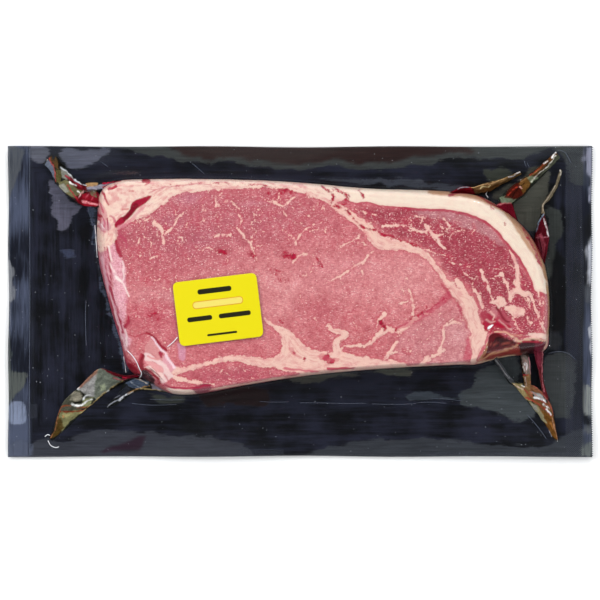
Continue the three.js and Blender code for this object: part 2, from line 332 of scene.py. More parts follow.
def side_ring(stations, inset_share, height_share, thickened=0.0):
    """A ring of the side. Thickened moves it outwards at the foot and upwards at the rim."""
    ring = stations.foot + inset_share * (stations.rim - stations.foot)
    rise = face_height(stations.rim) - STEAK_BASE
    angle = inset_share * math.pi / 2
    ring = ring + thickened * math.cos(angle) * stations.outward
    return np.column_stack([ring, STEAK_BASE + height_share * rise + thickened * math.sin(angle)])


def side_rings(stations, count, thickened=0.0):
    """The steak's side as rings, from its foot to the rim."""
    profile = curve(SIDE_PROFILE, np.linspace(0, len(SIDE_PROFILE) - 1, count), closed=False)
    return [side_ring(stations, max(share, 0), level, thickened) for share, level in profile]


print("faces between 3 by 3 points:", len(quads(np.arange(9).reshape(3, 3))))

# %% [markdown]
# A piece is made from plain lists of points and faces in one go. Operators or a bmesh would do it
# point by point, which takes long for tens of thousands. What a shader has to know about a place is
# stored on the mesh's points, under a name.

# %% Pieces
def new_piece(name, points, faces):
    """A Blender object from points in millimetres and arrays of faces."""
    mesh = bpy.data.meshes.new(name)
    faces = [face for group in faces for face in group.tolist()]
    mesh.from_pydata((points * MM).tolist(), [], faces)
    mesh.shade_smooth()
    piece = bpy.data.objects.new(name, mesh)
    bpy.context.scene.collection.objects.link(piece)
    return piece


def thin_sheet(name, xy, z, thickness, columns, rows):
    """A sheet from a grid of points: its upper face, its lower face and the wall round it."""
    grid = np.arange(len(xy)).reshape(columns + 1, rows + 1)
    ring = np.concatenate([grid[:-1, 0], grid[-1, :-1], grid[:0:-1, -1], grid[0, :0:-1]])
    points = np.vstack([np.column_stack([xy, z + thickness]), np.column_stack([xy, z])])
    faces = [quads(grid), quads(grid)[:, ::-1] + len(xy), wall(ring, len(xy))]
    return new_piece(name, points, faces)


def keep_fields(piece, **fields):
    """Stores numbers or colours on the mesh's points, where a shader can read them.

    Points past the end of the values get the first ones again: those of a sheet's lower face.
    """
    for name, values in fields.items():
        values = np.resize(values, (len(piece.data.vertices), *values.shape[1:]))
        kind, part = ("FLOAT", "value") if values.ndim == 1 else ("FLOAT_COLOR", "color")
        attribute = piece.data.attributes.new(name, kind, "POINT")
        attribute.data.foreach_set(part, values.astype(np.float32).ravel())


print("meshes so far, all from the frame:", len(bpy.data.meshes))

# %% [markdown]
# ## The steak's shape
#
# A raw steak is a slab with a nearly flat cut face, a rounded rim and sides that keep the butcher's
# trim. It could be sculpted, but a cut face is mostly a picture of its fat, so what matters is a
# mesh fine enough to hold that picture. Here the grid on the face has a point about every 0.6
# millimetres.

# %% The steak's shape
STEAK_COLUMNS = 384
STEAK_ROWS = 196
STEAK_SIDE_RINGS = 20
SIDE_WRINKLE = 0.16  # of the fat and sinew on the side

meat_stations = Stations(STEAK_COLUMNS, STEAK_ROWS)
meat_rings = side_rings(meat_stations, STEAK_SIDE_RINGS)
meat_points, meat_faces = skin(meat_stations, meat_rings, face_height)
foot_count = len(meat_stations.foot)
side_count = STEAK_SIDE_RINGS * foot_count
wrinkle = SIDE_WRINKLE * noise(meat_points[:side_count] * (1, 1, 2), 5, seed=4)
on_side = np.repeat(np.sin(np.linspace(0, math.pi, STEAK_SIDE_RINGS)), foot_count)
outward = np.tile(meat_stations.outward, (STEAK_SIDE_RINGS, 1))
meat_points[:side_count, :2] += (wrinkle * on_side)[:, None] * outward
print("steak points:", len(meat_points))

# %% [markdown]
# ## Where the fat lies
#
# Marbling is fat between the muscles and inside them. Thick seams part one muscle from the next,
# and thin veins branch inside each. A texture could only scatter them anywhere, so they are drawn
# the way a painter would: each as a stroke with a width at its start and at its end, or as a patch
# with an outline.
#
# What is stored on the mesh isn't a colour but a distance: how many millimetres each point is from
# the edge of the nearest fat, less than zero inside it. A shader can turn a distance into an edge
# that stays sharp between the points of the mesh, roughen it, and tint it, which it couldn't do
# with a blurred colour.

# %% Strokes and patches
FAR = 9.0  # millimetres past which a distance no longer matters


def from_segment(xy, start, end):
    """How far along a straight line each point is, as a share, and how far away from it."""
    way = end - start
    share = np.clip((xy - start) @ way / max(way @ way, 1e-9), 0, 1)
    return share, np.linalg.norm(xy - start - share[:, None] * way, axis=1)


def patch_distance(xy, outline, smooth=True):
    """Distance from the edge of a closed shape, less than zero inside."""
    edge = curve(outline, np.arange(0, len(outline), 0.25)) if smooth else np.array(outline, float)
    nearest = np.full(len(xy), 1e9)
    inside = np.zeros(len(xy), bool)
    for start, end in zip(edge, np.roll(edge, -1, axis=0)):
        nearest = np.minimum(nearest, from_segment(xy, start, end)[1])
        way = end - start
        straddles = (start[1] > xy[:, 1]) != (end[1] > xy[:, 1])
        slope = way[0] / way[1] if way[1] else 0.0
        inside ^= straddles & (xy[:, 0] < start[0] + (xy[:, 1] - start[1]) * slope)
    return np.where(inside, -nearest, nearest)


def draw_stroke(field, xy, widths, path):
    """Lowers the field to the distance from a stroke. Its half width goes through the widths."""
    steps = 4 * (len(path) - 1)
    line = curve(path, np.linspace(0, len(path) - 1, steps + 1), closed=False)
    spread = np.interp(np.linspace(0, 1, steps + 1), np.linspace(0, 1, len(widths)), widths)
    low, high = line.min(axis=0) - FAR / 2, line.max(axis=0) + FAR / 2
    near = np.flatnonzero(((xy > low) & (xy < high)).all(axis=1))
    for k in range(steps):
        share, away = from_segment(xy[near], line[k], line[k + 1])
        away = away - spread[k] - share * (spread[k + 1] - spread[k])
        field[near] = np.minimum(field[near], away)


def stroke_cover(xy, widths, path, start, end):
    """0 well outside a stroke and 1 well inside it. Start and end are depths inside its edge."""
    away = np.full(len(xy), FAR)
    draw_stroke(away, xy, widths, path)
    return smooth_step(-away, start, end)


def patch_cover(xy, outline, start, end, smooth=True):
    """The same for a patch."""
    return smooth_step(-patch_distance(xy, outline, smooth), start, end)


def oval(xy, x, y, half_length, half_width):
    """1 in the middle of an oval, and fading outwards."""
    reach = ((xy[:, 0] - x) / half_length) ** 2 + ((xy[:, 1] - y) / half_width) ** 2
    return np.exp(-reach)


middle = patch_distance(np.zeros((1, 2)), square, smooth=False)
print("a square's middle is", middle[0].round(2), "from its edge")

# %% [markdown]
# The strokes and patches, muscle by muscle. Lengths are in millimetres on the pack.

# %% Fat drawn on the steak
# The thick seam that parts the loin's eye from the cap muscle: x, y, half width.
MAIN_SEAM = [
    (2.5, 54.2, 0.6), (8, 52.2, 0.8), (13, 50.8, 1.2), (18, 47.2, 1.9), (23, 43.8, 2.1),
    (29, 39.8, 2.2), (34, 35.8, 2.5), (37.5, 31.2, 3.1), (41, 29.2, 3.4), (46, 28.2, 2.5),
    (51, 27.8, 2.2), (56, 26.2, 2.1), (60.5, 24.8, 1.7), (62.5, 22.8, 1.1), (66.5, 18.8, 1.1),
    (70.5, 13.2, 1.2), (72.8, 9.8, 1.4), (76.8, 5.5, 2.1), (80.5, 1.5, 3.3), (84, -1.3, 3.8),
    (85, -7.3, 4.2), (87.5, -12.1, 3.3), (89.2, -16.3, 3.9), (88, -19.3, 3.9), (87.8, -23.5, 2.2),
    (86.3, -30.3, 1.2),
]
FAT_PATCHES = {
    "cap": [
        (8, 58.5), (33, 59), (65, 57), (86.7, 55.5), (99, 50), (113, 38.5), (121, 26), (126, 10),
        (126.5, 4.5), (123.5, 3.6), (120, 4.8), (117, 5.4), (115.9, 9.5), (112.9, 16), (109, 22.4),
        (101.9, 30.7), (94.8, 38.5), (86.2, 43), (75.8, 45.6), (62.5, 46.3), (49.7, 47.2),
        (40.7, 48), (33, 49.8), (27, 49.2), (22.5, 51.2),
    ],
    "upper left": [
        (-104, 62), (-67.5, 63.5), (-19, 63), (17, 59.5), (22.5, 51.2), (16.5, 49.2), (9, 51.5),
        (1.5, 54), (-6, 56), (-19, 56.5), (-30, 56), (-47.5, 55), (-57.5, 54), (-62.5, 52.6),
        (-67.5, 48.8), (-75, 43.5), (-84, 39.8), (-89.5, 36.2), (-91.2, 31.8), (-93.5, 27.8),
        (-98, 24.8), (-104, 27),
    ],
    "lower": [
        (-18.5, -7.9), (-15, -9.8), (-11, -12.6), (-7, -13.4), (-3.5, -15.8), (-0.5, -19.2),
        (2.5, -22.2), (5.5, -23.8), (11.5, -25.1), (17, -25.2), (22, -25.2), (28, -26.9),
        (36, -28.6), (45, -29.3), (51, -30.6), (54.5, -32.8), (48, -34.1), (36, -34.8), (25, -36.1),
        (11, -38.2), (4, -37.4), (-1, -35.4), (-8.5, -34.4), (-12, -33), (-19, -32.4), (-25, -31.5),
        (-30, -30), (-35, -29.8), (-40, -30.2), (-45, -31.8), (-50, -33.2), (-55, -34.5),
        (-60, -35.8), (-65, -36.2), (-66, -33.8), (-63, -32.8), (-56.5, -32.2), (-47, -29.9),
        (-37.6, -27.2), (-28, -26.9), (-19, -28.4), (-16, -28.3), (-10.5, -26), (-9, -21.5),
        (-9.4, -18), (-12, -14.6), (-16, -11),
    ],
    "lower left": [
        (-67, -32.2), (-63, -36.4), (-57, -38.2), (-50.5, -39.8), (-43, -40.9), (-43, -41.3),
        (-51, -40.9), (-56, -40.2), (-60, -39.6), (-64, -38.2), (-69, -35.2), (-71, -30.2),
    ],
    "right block": [
        (98.2, 3.3), (101.5, 2.2), (103.5, -1.1), (100.7, -2.5), (98.5, -3.9), (97.5, -1.8),
        (94.3, -0.7), (94.7, 0.4), (97.5, 0.8),
    ],
    "lower right block": [
        (101.5, -2.8), (107.2, -1.8), (109, -2.8), (111.5, -3.6), (111.8, -5.7), (109.3, -7.5),
        (106.5, -7.8), (105, -5.7), (102.5, -4.6),
    ],
    "right fork": [
        (103.9, 5), (107.9, 7.9), (108.9, 10.8), (110, 7.9), (112.9, 2.2), (110, 3.2), (107.9, 4),
        (105.7, 1.4), (104.6, -0.7),
    ],
    "beside the seam": [
        (76.8, 11.1), (79, 11.4), (81.4, 7.9), (83.6, 5), (84.6, 2.9), (81.4, 4.3), (78.6, 7.2),
    ],
}
# Veins: half width at the start, at the end, and the points that they pass through.
VEINS = {
    "middle of the eye": [
        (0.4, 1.0, [(11.7, 8.9), (17, 11.1), (21.5, 13.8), (26, 16.4), (30, 18.8)]),
        (1.4, 0.4, [(31.3, 19.1), (32.3, 21), (34, 23), (36.5, 25)]),
        (0.4, 0.3, [(30.5, 15.8), (31.5, 12.2), (31, 9.2)]),
        (0.7, 0.5, [(-30.5, 43.2), (-29.2, 39.8), (-29.9, 37.5)]),
        (0.4, 1.0, [(-33.7, 37.5), (-31, 36.5), (-29.7, 34.8), (-27.8, 32.1)]),
        (0.9, 0.5, [(-27.8, 32.1), (-24.8, 29), (-23.4, 25.4), (-21.2, 21.3)]),
        (0.5, 0.2, [(-24, 26.2), (-21, 27.5), (-18.5, 28.5)]),
        (0.4, 0.3, [(-24.5, 31.8), (-22.2, 34.5)]),
        (0.5, 1.2, [(-17.6, 50.4), (-12.7, 49), (-8.2, 47.5)]),
        (1.2, 0.4, [(-8.2, 47.5), (-5.5, 49.5), (-1.5, 52.5)]),
        (0.9, 0.3, [(-8.2, 47.5), (-7.8, 44.2), (-5.5, 41.8)]),
        (0.4, 0.8, [(-9.1, 36.1), (-5.5, 33.5), (-2.2, 30.2)]),
        (0.8, 0.3, [(-2.4, 28.2), (-2.2, 30.2), (1.2, 34.5), (4.8, 37), (7.2, 38.5)]),
        (0.6, 0.8, [(-4.2, 19.8), (-0.6, 22.8), (2, 24)]),
        (0.5, 0.3, [(2, 24), (5, 23.2), (7.8, 21.8)]),
        (0.3, 0.7, [(-42.2, 52.2), (-41.7, 49), (-43, 46)]),
        (0.3, 0.5, [(-48.8, 47.8), (-47.8, 44.8), (-47, 45.2)]),
        (0.5, 0.7, [(-34.1, 50), (-32.5, 48.2), (-30.5, 46)]),
        (0.3, 0.4, [(-49.8, 23.5), (-46.2, 26.8), (-41.2, 24.5)]),
        (0.9, 1.1, [(-42.7, 33), (-40.5, 33)]),
        (1.3, 0.6, [(-38.5, 33), (-34.5, 33.5)]),
        (1.3, 1.0, [(-37.3, 49.5), (-36, 49.8)]),
        (0.3, 0.5, [(6.8, 45.8), (8, 47)]),
        (0.3, 0.4, [(3, 43.2), (5, 41.8)]),
        (0.5, 0.3, [(20, 27.8), (26, 30.2), (29, 31.8)]),
        (0.4, 0.4, [(27, 39.8), (28.5, 38.2)]),
        (0.7, 0.3, [(7, -8), (8.2, -11.5), (10.5, -13.6)]),
        (0.3, 0.3, [(-62, 12.8), (-60, 5.8)]),
    ],
    "left end": [
        (2.2, 1.5, [(-72.4, 38.8), (-69.6, 37.3)]),
        (1.6, 0.6, [(-69.6, 37.3), (-68.5, 33.2), (-68.2, 28.2)]),
        (0.5, 0.3, [(-67.8, 33.5), (-64.3, 36), (-60.2, 41.6), (-57, 45.1)]),
        (0.6, 0.5, [(-80.2, 31.3), (-80.8, 26.5)]),
        (0.7, 0.3, [(-80.2, 27.3), (-82.5, 26.8), (-85, 25.1)]),
        (0.3, 0.6, [(-74.5, 21.2), (-72, 22.5), (-70, 23.2)]),
        (0.3, 0.3, [(-78, 39.8), (-74.5, 42)]),
    ],
    "folded end of the seam": [
        (2.3, 2.8, [(14.2, -12.4), (16.5, -14.2), (20.5, -15.2), (22.8, -16.8)]),
        (2.8, 2.6, [(22.8, -16.8), (20, -18.2), (17.3, -21.1)]),
        (2.6, 3.5, [(17.3, -21.1), (18.5, -24.2), (20.5, -26.8)]),
        (1.1, 1.1, [(20.5, -23.8), (23.5, -22.4), (27.5, -22), (32.4, -22)]),
        (1.5, 2.7, [(32.4, -22.5), (36, -19.9), (38.5, -17.2), (41, -14.8)]),
        (2.7, 2.4, [(41, -14.8), (43.4, -13.4), (47, -14.9), (50, -14.9)]),
        (2.2, 1.9, [(50, -14.9), (54, -11.8), (56, -9)]),
        (1.6, 0.7, [(56, -9), (59.3, -8.4), (60.8, -6.4), (65, -6.2)]),
        (2.2, 0.5, [(42, -6.2), (40.5, -8.2), (39, -10.2), (38, -12.8)]),
        (0.9, 0.8, [(54, 5.9), (55.3, 2.8), (56.2, -2.2), (56.2, -7.8)]),
        (0.7, 0.4, [(50.2, -1), (53, -0.2), (55, 1.2)]),
        (0.5, 0.4, [(26, -9.2), (27.3, -11.2), (28.3, -14.2)]),
    ],
    "lower right": [
        (1.0, 1.2, [(80.5, -10.8), (74, -11.1), (71.3, -12.2)]),
        (1.2, 1.4, [(71.3, -12.2), (71.3, -17), (70.3, -21.8)]),
        (1.4, 1.8, [(70.3, -21.8), (68.9, -25.6), (66, -27.6)]),
        (0.5, 0.9, [(72, -24.2), (70, -24.8)]),
        (2.6, 1.8, [(63.7, -28.9), (59.3, -32.2)]),
        (1.7, 1.0, [(42, -29.2), (44.3, -26.2), (47.7, -21.5), (48.2, -19.8)]),
        (0.9, 0.5, [(44.3, -26.2), (46.5, -25.8), (48, -25.2)]),
    ],
    "cap muscle": [
        (0.9, 1.6, [(40.7, 37.5), (45, 37.9), (48, 38.2)]),
        (1.3, 1.1, [(48, 38.2), (51, 38.3)]),
        (0.5, 1.0, [(50.5, 38.5), (54, 37.5), (58.5, 35.2), (63, 34.2)]),
        (0.9, 0.4, [(54, 37.5), (54.8, 39.5)]),
        (1.5, 2.0, [(62.5, 37.8), (64.8, 35.2), (67.5, 32.2)]),
        (2.0, 0.8, [(67.5, 32.2), (70, 28.8), (72, 26.2)]),
        (0.8, 0.5, [(67.5, 32.5), (72.2, 33.8)]),
        (0.7, 1.0, [(56.8, 42.8), (59.5, 42.2), (61.7, 41.5)]),
        (0.7, 0.4, [(60.8, 42), (60.3, 38.8)]),
        (0.4, 0.4, [(28, 46), (31.5, 44.5), (38.5, 43)]),
        (0.4, 0.3, [(62, 26), (66, 24.5), (69.8, 23.5), (76, 21.9)]),
        (0.5, 0.7, [(71.8, 41.2), (74.2, 37.4), (76.5, 35.2)]),
        (0.6, 0.3, [(77, 34.7), (81.8, 35.5)]),
        (0.6, 0.3, [(76.5, 34.7), (74.7, 32)]),
        (1.0, 1.0, [(70.3, 37.2), (71.2, 36.7)]),
        (0.4, 0.3, [(74, 19.8), (85, 16.8)]),
        (0.4, 0.3, [(44, 31.8), (47, 30.8)]),
    ],
    "right end": [
        (0.6, 2.6, [
            (104.3, 25.8), (105.7, 23.6), (106.8, 20.8), (108.6, 15.8), (108.2, 12.2), (107.9, 8.6),
        ]),
        (1.6, 0.8, [(100, 14.3), (101.4, 10.8), (103.2, 7.9), (103.9, 4.3)]),
        (1.5, 1.0, [(90.4, 15.4), (91.4, 12.2), (93.6, 7.9), (95, 2.9), (95.7, 0.8)]),
        (0.5, 0.4, [(81.4, 14.3), (84.3, 12.2), (88.6, 10)]),
        (1.0, 1.5, [(86.1, 6.8), (87.9, 4.3), (89.6, 0.8), (90.7, -2.8)]),
        (1.3, 0.5, [(112.1, 4.3), (113.6, 0.8), (114.6, -3.5)]),
        (0.7, 1.0, [(114.3, 4.3), (116.4, -0.8), (117.9, -6.5), (120, -11.5), (122.1, -15)]),
        (1.6, 1.2, [(114.2, -9.6), (115, -10.4)]),
        (0.6, 0.4, [(110, 6.5), (112, 2), (114.3, -3.5)]),
        (0.7, 0.4, [(112.9, 5), (116, -0.5), (118.6, -6.4), (121, -11)]),
        (0.6, 0.8, [(105.7, -8.5), (108, -12), (110, -15)]),
        (0.8, 0.5, [(113, -7), (114, -11)]),
        (0.7, 0.5, [(116.5, 12.8), (118.5, 5.8), (120, -2.2)]),
        (1.1, 1.5, [(106.5, -19.5), (110, -20), (115, -18.3), (122.5, -17.5)]),
    ],
    "foot of the side": [
        (1.0, 1.4, [(-66, -43.8), (-58, -45), (-50, -45.9)]),
        (1.6, 0.8, [(90.8, -27.4), (93, -23), (94, -19.3)]),
        (0.6, 0.9, [(94.4, -26.1), (100.5, -23.9), (106.5, -22.1), (109, -20.8)]),
        (0.5, 0.5, [(96, -28.6), (104, -27.2), (110, -26.4)]),
    ],
}

print("drawn veins:", sum(map(len, VEINS.values())), "and patches of fat:", len(FAT_PATCHES))

# %% [markdown]
# The strokes are drawn on positions that noise has shifted a little, so that no edge is as clean as
# the curve that made it. Between the large veins the lean is full of hair-thin ones, too many to
# draw by hand. They are short random walks, thick on the ground in some muscles and rare in others.

# %% The fat field
FAT_WAVER = 0.5  # how far an edge strays, in millimetres
FAT_WAVER_SIZE = 3.2
VEIN_TRIM = 0.52  # the veins were drawn too wide, so they are slimmed to this share
HAIR_STEP = (0.7, 1.9)  # millimetres between the bends of a hair vein
HAIR_BENDS = (2, 5)  # from the first to before the second
HAIR_TURN = 0.7  # radians that it turns by at a bend, as a rule
HAIR_HALF_WIDTH = (-0.3, 0.12)  # one below zero shows only where the grain widens it
HAIR_TAPER = 0.1
# How dense the hair veins and the flecks are: share, x, y, half length, half width, degrees.
SPECKLED = [
    (1.0, -64, 34, 36, 18, 40),
    (0.8, -20, 44, 36, 14, 60),
    (0.5, 8, 36, 22, 16, 20),
    (0.9, 62, 38, 34, 12, -30),
    (1.0, 112, -4, 14, 16, -60),
    (0.3, 32, 2, 40, 20, 80),
    (0.35, 62, -20, 24, 12, 70),
    (0.6, -74, 14, 12, 24, 60),
    (0.6, 98, 12, 18, 14, -55),
    (0.3, -36, -38, 24, 5, 10),
]
HAIRS_PER_PATCH = 70


def hair_veins():
    """Random short veins: half width, path."""
    dice = np.random.default_rng(61)
    for share, x, y, half_length, half_width, degrees in SPECKLED:
        for _ in range(round(share * HAIRS_PER_PATCH)):
            path = [dice.normal((x, y), (0.55 * half_length, 0.55 * half_width))]
            turn = math.radians(degrees) + dice.normal(0, HAIR_TURN)
            for _ in range(dice.integers(*HAIR_BENDS)):
                turn += dice.normal(0, HAIR_TURN)
                way = np.array([math.cos(turn), math.sin(turn)])
                path.append(path[-1] + dice.uniform(*HAIR_STEP) * way)
            yield dice.uniform(*HAIR_HALF_WIDTH), path


drawn_at = wavering(meat_points, FAT_WAVER, FAT_WAVER_SIZE, (11, 12))
fat = np.full(len(meat_points), FAR)
for name, outline in FAT_PATCHES.items():
    edge_at = 0.5 * (meat_points[:, :2] + drawn_at) if name == "cap" else drawn_at
    fat = np.minimum(fat, patch_distance(edge_at, outline))
draw_stroke(fat, drawn_at, [row[2] for row in MAIN_SEAM], [row[:2] for row in MAIN_SEAM])
for veins in VEINS.values():
    for first, last, path in veins:
        draw_stroke(fat, drawn_at, (VEIN_TRIM * first, VEIN_TRIM * last), path)
for half_width, path in hair_veins():
    draw_stroke(fat, drawn_at, (half_width, half_width - HAIR_TAPER), path)
fat = np.clip(fat, -FAR, FAR)
print("share of the mesh that is fat:", round(float((fat < 0).mean()), 2))

# %% [markdown]
# ## Lean, membrane and juice
#
# Each muscle of a steak has its own red: the eye is paler where the light gets into it, the cap
# muscle is dark and coarse, and a silvery membrane covers the trimmed left side. These large
# differences are painted as a few soft patches of colour, with a few small lilac ones that are a
# painted sheen where the film stands off the meat.

# %% Lean and membrane, drawn
LEAN = "c9686f"
# Ovals of colour: hex code, strength, x, y, half length, half width.
LEAN_OVALS = [
    # the first four, small and pale lilac, are a painted sheen of the film where it stands off the
    # meat
    ("d99aa6", 0.8, -24, 48.6, 7, 1.6),
    ("d293a6", 0.7, -64, 40.5, 6, 2.8),
    ("cf8398", 0.8, -50.5, 31.5, 7, 3.4),
    ("d08a9c", 0.8, -55, 52, 7, 3),
    ("dca0a0", 0.8, -62, 3.5, 8, 4.5),
    ("b25562", 0.9, -62, 34, 44, 20),
    ("b85b67", 0.8, -20, 42, 40, 14),
    ("d78789", 0.9, -8, 4, 34, 16),
    ("d7888a", 0.9, 52, 10, 22, 14),
    ("d27d82", 0.8, 20, 16, 30, 12),
    ("c36268", 0.7, 32, -20, 18, 7),
    ("b04a5a", 0.8, -34, -37, 26, 5),
    ("c9757c", 0.9, 62, -20, 14, 9),
    ("c25a66", 0.8, -74, -6, 14, 14),
    ("d88d90", 0.6, -79, 4, 9, 4),
    ("b9505c", 0.7, 8, -4, 14, 8),
]
# Patches of colour with an outline: hex code, strength, softness of the edge, outline.
LEAN_PATCHES = [
    ("a63e4d", 1.0, 2.0, [
        (28, 47), (45, 46.5), (62, 45.5), (80, 43), (94, 36), (104, 26), (112, 14), (118, 2),
        (120, -12), (108, -20), (96, -16), (93, -4), (86, 6), (76, 12), (68, 22), (60, 28),
        (46, 33), (36, 40),
    ]),
    ("b67178", 0.85, 0.6, [
        (54, 47), (68, 46.8), (80, 44.8), (92, 39.3), (98, 34.8), (102, 28.8), (106, 23.8),
        (110, 17.8), (108, 16.8), (107, 19.8), (104, 25.8), (100, 28.8), (90, 34.3), (81, 36.8),
        (71, 40.8), (57, 44.3),
    ]),
    ("c9797e", 0.7, 1.6, [
        (51, -14.3), (57, -10.8), (65, -6.3), (75, 0.8), (80, -5.3), (86, -13.3), (84, -29.3),
        (59, -33), (51, -29.3), (48, -22.3),
    ]),
    ("d28b8e", 0.6, 1.2, [
        (71.5, -11.8), (84, -11.8), (85, -29.3), (67, -30.3), (69, -24.3), (71, -18.3),
    ]),
    ("d88c99", 0.9, 0.5, [
        (-100.4, 27.1), (-95.4, 27.1), (-94.6, 16.6), (-94.1, 4.4), (-91.6, -2.3), (-88.8, -14),
        (-86.6, -24.5), (-87.7, -24.5), (-90.4, -17.9), (-94.9, -1.2), (-98.5, 8.8), (-101, 19.4),
        (-102, 24.9),
    ]),
    ("e29ca8", 0.95, 0.4, [
        (-94.9, 29.9), (-92.4, 29.4), (-91.8, 23.8), (-88.8, 19.9), (-87.1, 14.9), (-87.9, 11),
        (-86.6, 5.5), (-85.7, 2.1), (-86.6, -2.3), (-86.8, -9), (-87.7, -12.9), (-86.6, -17.9),
        (-83.8, -20.1), (-84.6, -22.3), (-87.1, -22.9), (-89.3, -14.5), (-92.1, -2.3), (-93.5, 4.4),
        (-94.1, 16.6),
    ]),
]
FAT = "edc1b0"
FAT_COLOURS = [
    ("f2dcc6", 0.95, 1.0, FAT_PATCHES["cap"]),
    ("f0d5c2", 0.7, 2.0, FAT_PATCHES["upper left"]),
    # the upper right side's tan: partly the fat's own darker skin, partly painted shade where the
    # side slopes down
    ("c08e6a", 0.95, 0.5, [
        (64, 57), (64, 54), (76, 52.5), (83, 51.5), (90, 49.8), (96, 47), (100, 45.3),
        (103.5, 42.3), (106, 38.3), (108.5, 34.3), (111, 30.3), (114, 25.8), (117, 21.8),
        (120, 16.8), (122.5, 10.8), (127, 8), (124, 26), (112, 42), (98, 53), (80, 58),
    ]),
    ("edc5b2", 0.7, 3.0, [(-104, 52), (-96, 50), (-92, 36), (-96, 26), (-104, 26)]),
    ("c79470", 0.9, 1.0, [
        (88, -34), (92, -22), (96, -18), (104, -21), (112, -22), (112, -30), (98, -32),
    ]),
]
print("patches of colour:", len(LEAN_OVALS) + len(LEAN_PATCHES) + len(FAT_COLOURS))

# %% [markdown]
# Juice gathers in cracks, so it is drawn in strokes of its own that lie over fat and lean alike. At
# the edges the film has pulled the meat about, and left folds, sinews and clots. Those are marks,
# which go on last, in any colour. Painted light goes on with them: glints, sheen on the membrane,
# a highlight along the lower edge, shade in folds and a reflection beside the label.

# %% Juice and marks, drawn
# Juice: strength, half width at the start and at the end, path.
JUICE = [
    (0.55, 0.5, 0.4, [(-64.5, 57.5), (-49.5, 58.8), (-34, 58.8), (-17, 57.3), (-5.5, 56)]),
    (0.7, 1.6, 1.2, [(-9.5, 55), (-4.5, 54.6)]),
    (0.9, 0.5, 0.4, [(10.8, 57.5), (16.6, 53.3), (15.8, 49.3)]),
    (0.6, 1.0, 0.8, [(16.6, 55.8), (24, 51.8), (21.5, 48.3)]),
    (0.7, 0.4, 0.4, [(29.9, 55.8), (31.5, 51.8)]),
    (0.85, 0.35, 0.4, [
        (15.8, 48.3), (23.2, 45), (27.4, 40.9), (31.5, 36.8), (37.3, 35.1), (46.5, 31.8),
        (59.7, 27.6),
    ]),
    (0.5, 0.9, 0.7, [(94.9, 46.8), (95.9, 45.8)]),
    (0.5, 0.7, 0.6, [(101.8, 38.6), (102.3, 38.1)]),
    (0.75, 2.4, 1.8, [(95, -8), (99, -10.5), (102.5, -11.5)]),
    (0.8, 1.6, 1.2, [(93, -11.5), (95, -14.6), (99, -15.6)]),
    (0.35, 0.7, 1.1, [(57.2, -4), (66.3, -1.5), (74.6, 1.7), (73.8, 5.8)]),
    (0.95, 0.7, 0.8, [(39.9, -9.8), (41.5, -13.2)]),
    (0.7, 0.6, 0.6, [(48, -14.2), (50.2, -15.2)]),
    (0.95, 1.9, 1.5, [(13.4, -28.2), (15.2, -29.4)]),
    (0.85, 0.9, 0.7, [(-3.6, -25.1), (-3.1, -25.9)]),
    (0.8, 0.7, 0.6, [(1.8, -29.1), (2.4, -29.6)]),
    (0.85, 1.1, 0.8, [(-9.8, -9.4), (-9.1, -10.2)]),
    (0.9, 1.4, 1.0, [(-40.4, 25.1), (-37.2, 24.3)]),
    (0.8, 1.2, 1.0, [(-24.8, 23.6), (-22.6, 22)]),
    (1.0, 2.0, 1.4, [(-7.4, 23.4), (-4, 22.2)]),
    (0.6, 0.9, 1.1, [(8.8, 21.4), (10.4, 17.8)]),
    (0.35, 3.2, 2.6, [(-12.8, 13.6), (-7.5, 12)]),
    (0.45, 2.2, 1.8, [(-73.5, -6), (-69.5, -8)]),
    (0.8, 0.5, 0.6, [(97.8, 47.9), (107.8, 41.8), (116, 27.8), (120.2, 17.8)]),
    (0.8, 0.5, 0.5, [(74.5, 2.8), (63, -4.8), (54.8, -8.8)]),
    (0.5, 2.2, 1.6, [(-16, 52.5), (-10, 53)]),
]
